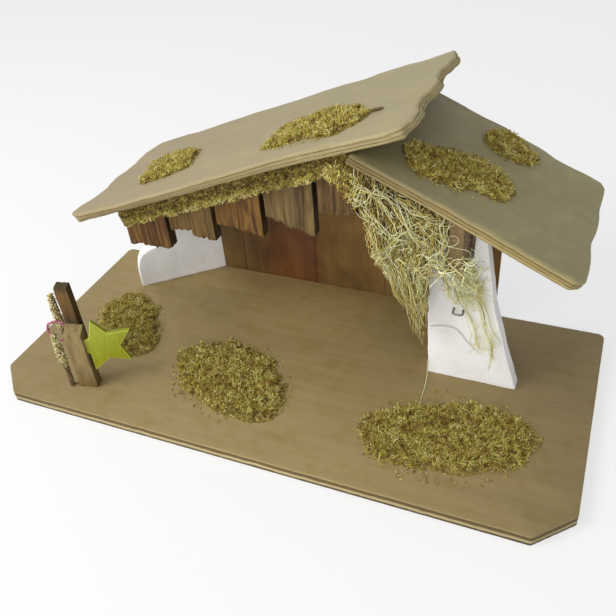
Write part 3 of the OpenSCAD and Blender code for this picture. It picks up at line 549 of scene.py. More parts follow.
# %% Stained softwood
def softwood(name, tones, stretch, band=None, marks=None, cloudy=0.5, ridge=0.5, rough=0.7,
             patch=(18, 18, 60)):
    """Stained wood: tones are the grain's colour stops, stretch its size in millimetres along x, y and z.

    band is a slow change along one direction, and marks names attributes with the tint that each one brings.
    """
    finish = new_finish(name)
    place = add(finish, "TexCoord").outputs["Object"]
    drawn = add(finish, "Mapping", {"Vector": place, "Scale": per_size(*stretch)})
    fibre = add(finish, "TexNoise", {"Vector": drawn.outputs[0], "Scale": 1.0, "Detail": 5.0,
                                     "Roughness": 0.62})
    cell = add(finish, "Mapping", {"Vector": place, "Scale": per_size(*patch)})
    cloud = add(finish, "TexNoise", {"Vector": cell.outputs[0], "Scale": 1.0, "Detail": 3.0,
                                     "Distortion": 0.8})
    mix = add(finish, "Mix", {"Factor": cloudy, 2: fibre.outputs[0], 3: cloud.outputs[0]}, data_type="FLOAT")
    colour = add(finish, "ValToRGB", {"Fac": mix.outputs[0]}, stops=tones).outputs[0]
    tints = []
    if band:
        way, first, last, stops = band
        far = add(finish, "VectorMath", {0: place, 1: way}, operation="DOT_PRODUCT")
        reach = add(finish, "MapRange", {"Value": far.outputs["Value"], "From Min": first * MM,
                                         "From Max": last * MM})
        tints.append((reach.outputs[0], stops))
    for mark, strength in (marks or {}).items():
        side = add(finish, "Attribute", attribute_name=mark)
        tints.append((side.outputs["Fac"], [(0.0, 1.0), (1.0, strength)]))
    for share, stops in tints:
        tint = add(finish, "ValToRGB", {"Fac": share}, stops=stops)
        colour = add(finish, "Mix", {"Factor": 1.0, 6: colour, 7: tint.outputs[0]}, **MULTIPLY).outputs[2]
    relief = add(finish, "Bump", {"Height": fibre.outputs[0], "Strength": ridge, "Distance": 0.4 * MM})
    shader = add(finish, "BsdfPrincipled", {"Base Color": colour, "Roughness": rough, "IOR": 1.45,
                                            "Normal": relief.outputs[0]})
    add(finish, "OutputMaterial", {"Surface": shader.outputs[0]})
    return finish


def sawn(node, name, width):
    """A copy of a measured board with its long edges broken by a narrow bevel."""
    piece = merged_copy(node, name)
    edge = piece.modifiers.new("broken_edge", "BEVEL")
    edge.width = width * MM
    edge.segments = 2
    edge.limit_method = "ANGLE"
    edge.angle_limit = 40 * DEG
    apply_all(piece)
    bpy.ops.object.shade_smooth_by_angle(angle=30 * DEG)
    return piece


back_wood = softwood(
    "walnut_stained_back_boards",
    [(0.34, "#604a2b"), (0.46, "#745b3a"), (0.56, "#80653f"), (0.7, "#917545")],
    (2.4, 2.4, 60), rough=0.6, patch=(26, 26, 34), ridge=0.3, cloudy=0.72,
    band=((1, 0, 0), -140, 140, [(0.0, "#e6e8d2"), (0.1, "#dcd8c0"), (0.2, "#c4b49a"), (0.3, "#eabf9e"),
                                 (0.425, "#ecbc98"), (0.437, "#fff0cc"), (0.7, "#fffada"), (1.0, "#f0e4c0")]))
for i in range(1, 6):
    node = f"back_board_{i}"
    stand_in(sawn(node, node + "_sawn", 0.5), "stained_back_boards", back_wood, node)

beam_wood = softwood("walnut_stained_beam_across", [(0.3, "#5c4a2c"), (0.5, "#7a6540"), (0.7, "#927b52")],
                     (40, 1.4, 1.4), rough=0.66)
long_wood = softwood("walnut_stained_beam_deep", [(0.3, "#5a482b"), (0.5, "#7b6641"), (0.7, "#947d55")],
                     (1.4, 40, 1.4), rough=0.66)
for node, finish in (("front_rafter", beam_wood), ("ridge_beam", long_wood), ("right_purlin", long_wood)):
    stand_in(sawn(node, node + "_sawn", 0.8), "stained_beams", finish, node)

# %% [markdown]
# ## Broken gable boards
#
# Each gable board was split and snapped rather than sawn: fluted faces, and ends that are torn along the
# grain. The measured board gives the outline and the flutes. Rays from below, above and in front find its
# faces column by column, about half a millimetre apart, and each column then gets its own torn end and its
# own groove.


# %% Gable boards
COLUMN_WIDTH = 0.45 * MM
# A ray starts this far outside the board.
OUTSIDE = 10 * MM


def torn_board(node, name, tear, flute, edge, seed):
    """A plank drawn in columns.

    tear is the raggedness of its end, flute its grooves and edge its pale rim, in millimetres.
    """
    solid = merged_copy(node, name + "_solid")
    tree = BVHTree.FromPolygons([v.co for v in solid.data.vertices],
                                [list(p.vertices) for p in solid.data.polygons])
    low, high = (Vector(c) for c in (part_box(node)[0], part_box(node)[1]))
    behind, middle = high.y, (low.y + high.y) / 2
    rng = np.random.default_rng(seed)
    columns = int((high.x - low.x) / COLUMN_WIDTH)
    rows = 30
    front, rear, rubbed = [], [], []
    for c in range(columns + 1):
        x = min(max(low.x + (high.x - low.x) * c / columns, low.x + 0.02 * MM), high.x - 0.02 * MM)
        under = tree.ray_cast(Vector((x, middle, low.z - OUTSIDE)), Vector((0, 0, 1)))[0]
        over = tree.ray_cast(Vector((x, middle, high.z + OUTSIDE)), Vector((0, 0, -1)))[0]
        spot = Vector((x, 0, 0))
        torn = tear * (0.7 * abs(noise.noise(spot / (1.9 * MM) + Vector((seed, 0, 0))))
                       + 1.3 * abs(noise.noise(spot / (0.75 * MM) + Vector((0, seed, 0)))) ** 1.3)
        foot = under.z + torn * MM
        for r in range(rows + 1):
            z = foot + (over.z - foot) * (r / rows) ** 1.3
            before = Vector((x, low.y - OUTSIDE, max(z, under.z + 0.3 * MM)))
            hit = tree.ray_cast(before, Vector((0, 1, 0)))[0]
            face = hit.y if hit and hit.y < middle else low.y
            cut = flute * abs(noise.noise(Vector((x / (1.1 * MM), seed, z / (60 * MM))))) * MM
            wave = 0.35 * MM * (noise.noise(Vector((x / (7 * MM), seed * 2, z / (22 * MM)))) + 0.5)
            worn = 1.2 * MM * max(0, 1 - (z - foot) / (2.2 * MM)) ** 2
            front.append((x, face + cut + wave + worn, z))
            rubbed.append(max(0, 1 - (z - foot) / (edge * MM)))
            rear.append((x, behind, z + (0.8 * MM * rng.random() if r == 0 else 0)))
    size = (columns + 1) * (rows + 1)

    def at(side, c, r):
        """The number of the point in this column and row of the front or the rear."""
        return side * size + c * (rows + 1) + r

    faces = []
    for c in range(columns):
        for r in range(rows):
            faces.append([at(0, c, r), at(0, c + 1, r), at(0, c + 1, r + 1), at(0, c, r + 1)])
            faces.append([at(1, c, r), at(1, c, r + 1), at(1, c + 1, r + 1), at(1, c + 1, r)])
        faces.append([at(0, c, 0), at(1, c, 0), at(1, c + 1, 0), at(0, c + 1, 0)])
        faces.append([at(0, c, rows), at(0, c + 1, rows), at(1, c + 1, rows), at(1, c, rows)])
    for r in range(rows):
        faces.append([at(0, 0, r), at(0, 0, r + 1), at(1, 0, r + 1), at(1, 0, r)])
        faces.append([at(0, columns, r), at(1, columns, r), at(1, columns, r + 1), at(0, columns, r + 1)])
    bpy.data.objects.remove(solid)
    plank = built(name, front + rear, faces)
    # Faces that look sideways or down get the flank mark, which darkens them: painted shade on the unlit
    # sides and undersides, partly the darker stain of sawn sides.
    flank_shade_values = [float(abs(face.normal.x) > 0.8 or face.normal.z < -0.6) for face in plank.data.polygons]
    tell(plank, "flank_shade_and_stain", flank_shade_values, "FACE")
    tell(plank, "rubbed", rubbed + [0.0] * len(rear))
    bpy.ops.object.shade_smooth_by_angle(angle=50 * DEG)
    return plank


gable_tones = {
    1: [(0.36, "#321e0d"), (0.45, "#573819"), (0.54, "#6d4b21"), (0.64, "#7e602f")],
    2: [(0.36, "#36260f"), (0.45, "#5c4420"), (0.54, "#70562a"), (0.64, "#866a3c")],
    3: [(0.36, "#3a2a10"), (0.45, "#5f4822"), (0.54, "#755a2c"), (0.64, "#8e723f")],
    4: [(0.36, "#34200b"), (0.44, "#573a16"), (0.52, "#6e4c1c"), (0.58, "#7e5e24"), (0.66, "#65481f")],
    5: [(0.36, "#3b2a12"), (0.45, "#594523"), (0.54, "#6c5730"), (0.64, "#7f6b40")],
    6: [(0.36, "#33220e"), (0.45, "#523b1c"), (0.54, "#644b26"), (0.64, "#765e32")],
}
tears = {1: (2.6, 0.8, 1.0), 2: (1.6, 0.8, 1.2), 3: (2.0, 0.8, 1.2), 4: (1.4, 0.6, 1.4), 5: (1.6, 0.7, 1.4),
         6: (1.2, 1.1, 3.0)}
for i, tones in gable_tones.items():
    node = f"gable_board_{i}"
    # The flank mark darkens sides and undersides to 0.3: painted shade, partly stain.
    gable_wood = softwood(f"torn_stained_softwood_{i}", tones, (1.7, 1.7, 34), patch=(6, 6, 34),
                          marks={"flank_shade_and_stain": 0.3, "rubbed": 1.9}, ridge=0.6, rough=0.78, cloudy=0.55)
    stand_in(torn_board(node, node + "_torn", *tears[i], seed=i + 2), "gable_wood", gable_wood, node)

# %% [markdown]
# ## Stakes and twigs
#
# Two flat sawn stakes and two round twigs stand in the corner like a piece of fence, and a third, thin twig
# lies on the roof. The stakes have rough sawn flanks. The two upright twigs are as they grew, with knots,
# bark and yellow lichen.

# %% Stakes
front_foot = ((0, 0, 1), 10, 70, [(0.0, "#d8c6a4"), (0.2, 1.0), (0.8, 1.05), (1.0, "#e6ecd8")])
rear_foot = ((0, 0, 1), 10, 84, [(0.0, 0.35), (0.5, 0.4), (0.68, 1.0), (0.9, 1.1), (1.0, "#a4b088")])
# The flank mark darkens the stakes' right faces: painted shade, partly the stain of the sawn side.
front_wood = softwood(
    "weathered_stake_front", [(0.3, "#5c4a28"), (0.45, "#7b673f"), (0.58, "#8c784b"), (0.75, "#9c895b")],
    (1.3, 1.3, 26), band=front_foot, marks={"flank_shade_and_stain": 0.7}, patch=(9, 9, 20), rough=0.75)
rear_wood = softwood(
    "weathered_stake_rear",
    [(0.3, "#392810"), (0.45, "#5a431f"), (0.55, "#6b5026"), (0.66, "#7a531b"), (0.8, "#636038")],
    (1.3, 1.3, 24), band=rear_foot, marks={"flank_shade_and_stain": 0.6}, patch=(8, 8, 22), rough=0.75)


def rough_stake(place, normal):
    """The saw's ripples along a stake, in millimetres."""
    return (0.35 * ripple(place, 4, 3, (1, 1, 5)) + 0.18 * ripple(place, 1.2, 5, (1, 1, 9))
            + 0.3 * ripple(place, 12, 7))


for node, finish in (("front_stake", front_wood), ("rear_stake", rear_wood)):
    stake = remeshed(node, node + "_cut", 0.55, 3)
    push(stake, rough_stake)
    # Faces that look to the right get the flank mark: painted shade on the side away from the lamp, partly
    # the darker stain of the sawn side.
    tell(stake, "flank_shade_and_stain", [float(face.normal.x > 0.75) for face in stake.data.polygons], "FACE")
    stand_in(stake, "stake_wood", finish, node)

# %% Twigs
bark = softwood("hedge_twig_bark", [(0.3, "#4a3a26"), (0.5, "#6c583b"), (0.7, "#87734f")], (1.2, 1.2, 7),
                patch=(3, 3, 6), ridge=0.9, rough=0.85)


def knotty(place, normal):
    """Knots and ridges of bark along a twig, in millimetres."""
    return 0.45 * ripple(place, 3.2, 6, (1, 1, 2)) + 0.3 * ripple(place, 1.1, 8, (1, 1, 3)) - 0.1


for node, voxel in (("front_twig", 0.45), ("rear_twig", 0.45), ("roof_twig", 0.22)):
    twig = remeshed(node, node + "_bark", voxel, 1)
    if node != "roof_twig":
        push(twig, knotty)
    stand_in(twig, "twig_bark", bark, node)

# %% [markdown]
# ## Star
#
# The star is sawn from thin wood and painted lime green. Paint pulls back from a sharp edge, so the edge
# gets a round bevel and a paler tone, and the wood's grain still shows faintly through the coat.

# %% Star
lime = new_finish("lime_paint_on_wood")
place = add(lime, "TexCoord").outputs["Object"]
brushed = add(lime, "Mapping", {"Vector": place, "Scale": per_size(1.6, 1.6, 12)})
strokes = add(lime, "TexNoise", {"Vector": brushed.outputs[0], "Scale": 1.0, "Detail": 3.0})
coat = add(lime, "ValToRGB", {"Fac": strokes.outputs[0]},
           stops=[(0.3, "#8c910b"), (0.5, "#979c0d"), (0.7, "#a1a614")])
wear = add(lime, "Attribute", attribute_name="edge")
paler = add(lime, "Mix", {"Factor": wear.outputs["Fac"], 6: coat.outputs[0], 7: "#d3d765"},
            data_type="RGBA")
relief = add(lime, "Bump", {"Height": strokes.outputs[0], "Strength": 0.15, "Distance": 0.2 * MM})
shader = add(lime, "BsdfPrincipled", {"Base Color": paler.outputs[2], "Roughness": 0.5, "IOR": 1.5,
                                      "Normal": relief.outputs[0]})
add(lime, "OutputMaterial", {"Surface": shader.outputs[0]})
star = sawn("star", "painted_star", 0.5)
tell(star, "edge", [float(face.area < 6 * MM ** 2) for face in star.data.polygons], "FACE")
stand_in(star, "lime_paint", lime, "star")

# %% [markdown]
# ## Strands
#
# Moss and hay are thousands of thin strands. One strand by hand would be a three-sided rod that bends and
# tapers. Here the same rod is repeated by arithmetic: every strand has its own line of points, and one mesh
# holds them all. Three sides and a few steps are enough for a thing half a millimetre thick. Each strand
# keeps a tone, a number from 0 to 1 in an attribute, that its finish turns into a colour.


# %% Bundle of strands
def unit(rows):
    """Each row scaled to length one."""
    return rows / (np.linalg.norm(rows, axis=-1, keepdims=True) + 1e-12)


def bundle(name, lines, radii, tones, flatten=1.0):
    """One mesh of three-sided strands: lines (strands, points, 3) and radii (strands, points) in metres."""
    strands, steps, _ = lines.shape
    tangent = unit(np.gradient(lines, axis=1))
    rng = np.random.default_rng(strands)
    side = rng.normal(size=(strands, 3))
    rings = []
    for k in range(steps):
        along = tangent[:, k]
        side = unit(side - (side * along).sum(1, keepdims=True) * along)
        other = np.cross(along, side)
        for corner in range(3):
            angle = 2 * math.pi * corner / 3
            round_it = math.cos(angle) * side + math.sin(angle) * flatten * other
            rings.append(lines[:, k] + radii[:, k, None] * round_it)
    points = np.stack(rings, axis=1).reshape(-1, 3)
    quads = []
    for k in range(steps - 1):
        for corner in range(3):
            nxt = (corner + 1) % 3
            quads.append([3 * k + corner, 3 * k + nxt, 3 * k + 3 + nxt, 3 * k + 3 + corner])
    starts = (np.arange(strands) * 3 * steps)[:, None, None]
    last = 3 * (steps - 1)
    faces = (np.array(quads)[None] + starts).reshape(-1, 4).tolist()
    faces += (np.array([[2, 1, 0], [last, last + 1, last + 2]])[None] + starts).reshape(-1, 3).tolist()
    tones = np.broadcast_to(np.asarray(tones, float).reshape(strands, -1), (strands, steps))
    piece = built(name, points.tolist(), faces)
    tell(piece, "tone", np.repeat(tones, 3).astype(np.float32))
    bpy.ops.object.shade_smooth()
    return piece


def strand_finish(name, tones, rough, patch, patch_tones):
    """Dry plant fibre: the strand's own tone gives the colour, and slow patches over the piece shift it."""
    finish = new_finish(name)
    place = add(finish, "TexCoord").outputs["Object"]
    cloud = add(finish, "TexNoise", {"Vector": place, "Scale": 1 / (patch * MM), "Detail": 3.0})
    tone = add(finish, "Attribute", attribute_name="tone")
    colour = add(finish, "ValToRGB", {"Fac": tone.outputs["Fac"]}, stops=tones)
    tint = add(finish, "ValToRGB", {"Fac": cloud.outputs[0]}, stops=patch_tones)
    mixed = add(finish, "Mix", {"Factor": 1.0, 6: colour.outputs[0], 7: tint.outputs[0]}, **MULTIPLY)
    shader = add(finish, "BsdfPrincipled", {"Base Color": mixed.outputs[2], "Roughness": rough, "IOR": 1.45})
    add(finish, "OutputMaterial", {"Surface": shader.outputs[0]})
    return finish


print("strand helpers ready")

# %% [markdown]
# ## Moss
#
# The moss is dried, dyed and glued on in thin cushions: short curled fibres, golden green with paler and
# browner ones between them, and crumbs round the rim. Points are picked evenly over the measured cushion's
# surface with a fixed seed, and a curled fibre grows from each. A dark lumpy under-layer closes the gaps
# between them.


# %% Moss helpers
def surface_points(node, up, count, rng, least=0.05):
    """Random points with their normals on the faces that look along up, and the area of those faces."""
    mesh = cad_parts[node].data
    mesh.calc_loop_triangles()
    corners = np.array([[mesh.vertices[i].co[:] for i in t.vertices] for t in mesh.loop_triangles])
    cross = np.cross(corners[:, 1] - corners[:, 0], corners[:, 2] - corners[:, 0])
    area = np.linalg.norm(cross, axis=1) / 2
    normal = cross / (2 * area[:, None] + 1e-15)
    use = normal @ np.array(up) > least
    chosen = rng.choice(np.flatnonzero(use), count, p=area[use] / area[use].sum())
    a, b = rng.random((2, count, 1))
    flip = a + b > 1
    a, b = np.where(flip, 1 - a, a), np.where(flip, 1 - b, b)
    tri = corners[chosen]
    spots = tri[:, 0] + a * (tri[:, 1] - tri[:, 0]) + b * (tri[:, 2] - tri[:, 0])
    return spots, normal[chosen], area[use].sum()


def curls(starts, ways, reach, bend, rng, steps=5):
    """Curled lines from each start along its way: reach and bend in millimetres."""
    count = len(starts)
    length = rng.uniform(*reach, size=(count, 1)) * MM
    sideways = unit(np.cross(ways, rng.normal(size=(count, 3))))
    arc = rng.uniform(*bend, size=(count, 1)) * MM
    share = np.linspace(0, 1, steps)[None, :, None]
    return (starts[:, None] + ways[:, None] * length[:, None] * share
            + sideways[:, None] * arc[:, None] * np.sin(share * math.pi * 0.8))


moss_finish = strand_finish(
    "dried_dyed_moss",
    [(0.0, "#5c4c18"), (0.25, "#a1943c"), (0.5, "#cbc05c"), (0.72, "#e0d676"), (0.9, "#eee59a"),
     (1.0, "#f6f1c0")],
    0.8, 6, [(0.32, "#b3946c"), (0.48, "#f2e8d4"), (0.62, 1.0), (0.75, "#f2ffe6")])
earth = strand_finish("moss_under_layer", [(0.0, "#8a773a"), (1.0, "#988544")], 0.95, 2.2,
                      [(0.32, 0.35), (0.5, 0.85), (0.66, 1.25)])


def rim_share(points, outline, up):
    """How far each point lies from the middle towards the cushion's rim, from 0 to 1."""
    up = np.array(up)
    first = unit(np.cross([[0.0, 1.0, 0.0]], up))[0]
    second = np.cross(up, first)
    centre = (outline.max(0) + outline.min(0)) / 2

    def seen(rows):
        """The angle and the distance of each row from the middle, looking down on the cushion."""
        level = np.stack([(rows - centre) @ first, (rows - centre) @ second], axis=1)
        return np.arctan2(level[:, 1], level[:, 0]), np.linalg.norm(level, axis=1)

    ways, far = seen(outline)
    marks = np.linspace(-math.pi, math.pi, 49)
    half_window = 0.14
    reach = [far[np.abs((ways - mark + math.pi) % (2 * math.pi) - math.pi) < half_window].max(initial=MM)
             for mark in marks]
    angle, away = seen(points)
    return away / np.interp(angle, marks, reach)


def ragged(points, share):
    """True for points inside a rim that is eaten away unevenly."""
    return share < 0.9 + 0.26 * (lumps(points, 7) + 0.5 * lumps(points, 2.6))


def soil(piece, node, sink):
    """The dark lumpy layer under the fibres, sunk by so many millimetres."""
    push(piece, lambda place, normal: 0.5 * ripple(place, 2.6, 3) - sink)
    tell(piece, "tone", np.full(len(piece.data.vertices), 0.5, np.float32))
    stand_in(piece, "dried_moss", earth, node)


def moss_cushion(node, up, seed, density):
    """Curled fibres over a measured cushion, with crumbs round its rim and a dark layer under them."""
    rng = np.random.default_rng(seed)
    up = np.array(up)
    # This first call is made for the area alone.
    area = surface_points(node, up, 10, rng)[2] / MM ** 2
    count = int(area * density)
    starts, normals, _ = surface_points(node, up, count, rng)
    outline = np.array([v.co[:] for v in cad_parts[node].data.vertices])
    inside = ragged(starts, rim_share(starts, outline, up))
    starts, normals = starts[inside], normals[inside]
    count = len(starts)
    clump = lumps(starts, 3.6)
    ways = unit(normals * rng.uniform(0.15, 0.9, (count, 1)) + unit(rng.normal(size=(count, 3))))
    down = (ways @ up)[:, None]
    ways = unit(np.where(down < 0, ways - 2 * down * up, ways))
    roots = starts + normals * (clump[:, None] * 1.2 - 0.5) * MM
    lines = curls(roots, ways, (1.5, 4.0), (0.4, 1.9), rng, steps=4)
    tone = np.clip(0.53 + 0.24 * rng.normal(size=count) + 0.3 * clump, 0, 1)
    centre = starts.mean(0)
    stray = int(count * 0.045)
    picked = rng.choice(count, stray)
    outward = starts[picked] - centre
    outward -= (outward @ up)[:, None] * up
    floor_at = -highest(node, Vector(-up))
    far = outward / np.abs(outward).max()
    edge = centre + outward * (1.0 / np.maximum(np.linalg.norm(far, axis=1, keepdims=True), 0.25)) ** 0.55
    crumbs = edge + unit(outward) * rng.exponential(0.9, (stray, 1)) * MM
    crumbs += ((floor_at + 0.4 * MM) - crumbs @ up)[:, None] * up
    lying = unit(np.cross(rng.normal(size=(stray, 3)), up) + 0.12 * up)
    more = curls(crumbs, lying, (1.2, 3.0), (0.1, 0.8), rng, steps=4)
    lines = np.concatenate([lines, more])
    tone = np.concatenate([tone, np.clip(0.45 + 0.2 * rng.normal(size=stray), 0, 1)])
    height = lines @ up
    lines += np.maximum(floor_at + 0.25 * MM - height, 0)[..., None] * up
    thick = rng.uniform(0.26, 0.48, (len(lines), 1)) * np.array([[1, 1, 0.8, 0.35]]) * MM
    fibres = bundle(node + "_fibres", lines, thick, tone, flatten=0.7)
    cushion = remeshed(node, node + "_earth", 1.1, 2)
    skin = np.array([v.co[:] for v in cushion.data.vertices])
    sunk = ~ragged(skin, rim_share(skin, outline, up))
    level = (skin @ up - floor_at)[:, None]
    lowered = skin - sunk[:, None] * np.maximum(level - 0.15 * MM, 0) * up
    cushion.data.vertices.foreach_set("co", lowered.ravel())
    stand_in(fibres, "dried_moss", moss_finish, node)
    soil(cushion, node, 0.25)


print("moss finishes:", moss_finish.name, earth.name)

# %% Moss cushions
for i, (spot, up, density) in enumerate([
        ("base_left", flat, 1.6), ("base_middle", flat, 1.6), ("base_right", flat, 1.6),
        ("roof_left_low", left_up, 1.9), ("roof_left_high", left_up, 1.9),
        ("roof_right_low", right_up, 1.9), ("roof_right_high", right_up, 1.9)]):
    moss_cushion("moss_" + spot, up, 31 + i, density)

# %% [markdown]
# The fringe under the roof is the same moss, glued on as a roll, so its fibres hang down and outwards over
# the tops of the gable boards.

# %% Moss fringe
def underside(node, up, x):
    """Height in millimetres of a roof board's underside over x."""
    return (highest(node, up) / MM - ROOF_THICK - np.asarray(x) * up.x) / up.z


rng = np.random.default_rng(41)
front_way = Vector((0, -1, 0))
fringe_ends = [-139 * MM, 55 * MM]
fringe_rise = (fringe_ends[1] - fringe_ends[0]) * math.tan(LEFT_PITCH * DEG)
fringe_foot = [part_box("moss_fringe")[0][2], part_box("moss_fringe")[0][2] + fringe_rise]
starts, normals, _ = surface_points("moss_fringe", front_way, 5200, rng, least=-0.1)
keep = starts[:, 0] > -136 * MM
starts, normals = starts[keep], normals[keep]
count = len(starts)
clump = lumps(starts, 4.5)
ways = unit(np.array([0, -0.3, -0.35]) + 0.35 * normals + 0.8 * rng.normal(size=(count, 3)))
lines = curls(starts + normals * (clump[:, None] * 2.2 - 0.9) * MM, ways, (1.4, 3.6), (0.4, 2.0), rng)
foot = np.interp(lines[..., 0], fringe_ends, fringe_foot) + 1.5 * MM * clump[:, None]
lines[..., 2] += np.maximum(0, foot - lines[..., 2]) * 0.7
# Fibres are lighter near the fringe's foot and darker higher up under the roof's edge: painted light and
# shade.
rise = (lines[:, 2, 2] - np.interp(lines[:, 2, 0], fringe_ends, fringe_foot)) / MM
tone = 0.6 + np.interp(rise, [0, 4, 10], [0.2, 0.0, -0.6]) + 0.5 * clump + 0.22 * rng.normal(size=count)

# A longer beard of moss hangs down at the ridge, where the hay starts.
hung = 620
across = rng.uniform(37, 61, hung)
length = np.interp(across, [37, 39, 46, 52.6, 57.4, 61], [18, 20, 26, 33, 36, 30]) - 2.5
roof_at = np.minimum(underside("left_roof", left_up, across), underside("right_roof", right_up, across))
deep = rng.uniform(-5, 3.5, hung)
beard = np.stack([across, deep, roof_at - length * rng.uniform(0.3, 1, hung)], axis=1) * MM
ways = unit(np.array([0, -0.2, -0.7]) + 0.7 * rng.normal(size=(hung, 3)))
more = curls(beard, ways, (1.5, 3.8), (0.4, 2.0), rng)
lines = np.concatenate([lines, more])
tone = np.clip(np.concatenate([tone, 0.72 + 0.2 * rng.normal(size=hung)]), 0, 1)
thick = rng.uniform(0.28, 0.48, (len(lines), 1)) * np.array([[1, 1, 0.9, 0.65, 0.3]]) * MM
fringe = bundle("moss_fringe_fibres", lines, thick, tone, flatten=0.7)
stand_in(fringe, "dried_moss", moss_finish, "moss_fringe")
soil(remeshed("moss_fringe", "moss_fringe_earth", 1.1, 2), "moss_fringe", 0.35)

# %% [markdown]
# ## Hay
#
# The hay is a hank of raffia-like grass, pushed up under the right roof board. It hangs as a sheaf that
# narrows to a ragged tip, and loose ends arch across its top. Each strand runs between the sheaf's left and
# right edge at its own share of the width, waves a little as it falls, and ends at its own height.

# %% Hay helpers
sheaf_left = np.array([(185, 56), (179, 57.5), (168, 58.5), (160, 60), (151, 63.7), (139, 64.8), (132, 66.8),
                       (124, 69), (112, 77.8), (101.5, 80.6), (94, 85), (89, 90), (80, 92.2), (73, 93.7),
                       (65, 95.3), (58, 98.5), (50, 102)])[::-1]
sheaf_right = np.array([(176, 113), (160, 117), (145, 117.5), (131, 112), (118, 105.5), (107, 104),
                        (90, 103.5), (70, 103.3), (57, 103), (50, 102.6)])[::-1]
rng = np.random.default_rng(51)
steps = 30


def roof_under(x):
    """Height in millimetres of the right roof board's underside over x, clear of it by a strand."""
    return underside("right_roof", right_up, x) - 0.6


def falling(count, end_low, end_high, wave, depth, shares=(0, 1)):
    """Lines that start under the roof and fall inside the sheaf."""
    u = rng.uniform(*shares, (count, 1))
    fall = np.linspace(0, 1, steps)[None]
    top_x = 58 * (1 - u) + 117 * u
    start = roof_under(top_x) - rng.uniform(0, 3, (count, 1))
    end = rng.uniform(end_low, end_high, (count, 1))
    z = start + (end - start) * fall
    x = np.interp(z, *sheaf_left.T) * (1 - u) + np.interp(z, *sheaf_right.T) * u
    x = top_x * np.clip(1 - fall * 4, 0, 1) + x * np.clip(fall * 4, 0, 1)
    y = depth[0] + rng.uniform(-1, 1, (count, 1)) * depth[1] * (1 - 0.55 * fall)
    for size, amount in ((38, 1.0), (17, 0.55), (8, 0.35), (5.5, 0.14)):
        swing = wave * amount * np.sin(z * 2 * math.pi / (size * rng.uniform(0.8, 1.25, (count, 1)))
                                       + rng.uniform(0, 6.3, (count, 1)))
        x = x + swing * (0.25 + 0.75 * np.sin(fall * math.pi) ** 0.5)
        y = y + 0.6 * swing * np.cos(rng.uniform(0, 6.3, (count, 1)))
    splay = np.clip(fall - 0.75, 0, 1) * 4
    x = x + splay ** 2 * rng.normal(size=(count, 1)) * 1.6
    return np.stack([x, y, z], axis=2)


def drawn(corners, copies, spread, depth, wave=0.6):
    """Strands side by side along one drawn line of (x, z) corners in millimetres, each with its own swing."""
    corners = np.array(corners, float)
    marks = np.linspace(0, len(corners) - 1, steps)
    path = np.stack([np.interp(marks, range(len(corners)), corners[:, k]) for k in (0, 1)], axis=1)
    path[1:-1] = (path[:-2] + 2 * path[1:-1] + path[2:]) / 4
    t = np.linspace(0, 1, steps)[None]
    lines = []
    for k in (0, 1):
        shift = rng.normal(size=(copies, 1)) * spread
        drift = rng.normal(size=(copies, 1)) * spread * (t - 0.5) * 2
        swing = wave * np.sin(t * rng.uniform(6, 16, (copies, 1)) + rng.uniform(0, 6.3, (copies, 1)))
        lines.append(path[None, :, k] + shift + drift + swing)
    y = rng.uniform(*depth, (copies, 1)) + 1.2 * np.sin(t * rng.uniform(4, 10, (copies, 1))
                                                        + rng.uniform(0, 6, (copies, 1)))
    return np.stack([lines[0], y, lines[1]], axis=2)


def tangled(count, spots, reach, turning, depth):
    """Loose curly lines that wander from random spots."""
    x, z = spots(*rng.random((2, count)))
    angle = rng.uniform(0, 2 * math.pi, count)
    step = rng.uniform(*reach, count) / steps
    rate = rng.normal(size=count) * turning
    xs, zs = [x], [z]
    for k in range(steps - 1):
        rate = 0.86 * rate + rng.normal(size=count) * turning * 0.5
        angle = angle + rate * step
        xs.append(xs[-1] + np.cos(angle) * step)
        zs.append(zs[-1] + np.sin(angle) * step)
    t = np.linspace(0, 1, steps)[None]
    y = rng.uniform(*depth, (count, 1)) + 2.2 * np.sin(t * rng.uniform(3, 9, (count, 1))
                                                       + rng.uniform(0, 6, (count, 1)))
    return np.stack([np.array(xs).T, y, np.array(zs).T], axis=2)


def taper(count, low, high):
    """Strand radii in metres, even along most of the strand and thinner at its ends."""
    shape = np.clip(np.minimum(np.linspace(0.5, 8, steps), np.linspace(6, 0.45, steps)), 0, 1)
    return rng.uniform(low, high, (count, 1)) * shape[None] * MM


hay_finish = strand_finish(
    "dried_raffia_hay",
    [(0.0, "#352d10"), (0.2, "#86692a"), (0.4, "#c4a74e"), (0.6, "#dcd07c"), (0.8, "#eeeeac"),
     (1.0, "#f8f8d0")],
    0.62, 22, [(0.35, 0.88), (0.6, 1.05)])
print("hay helpers ready")

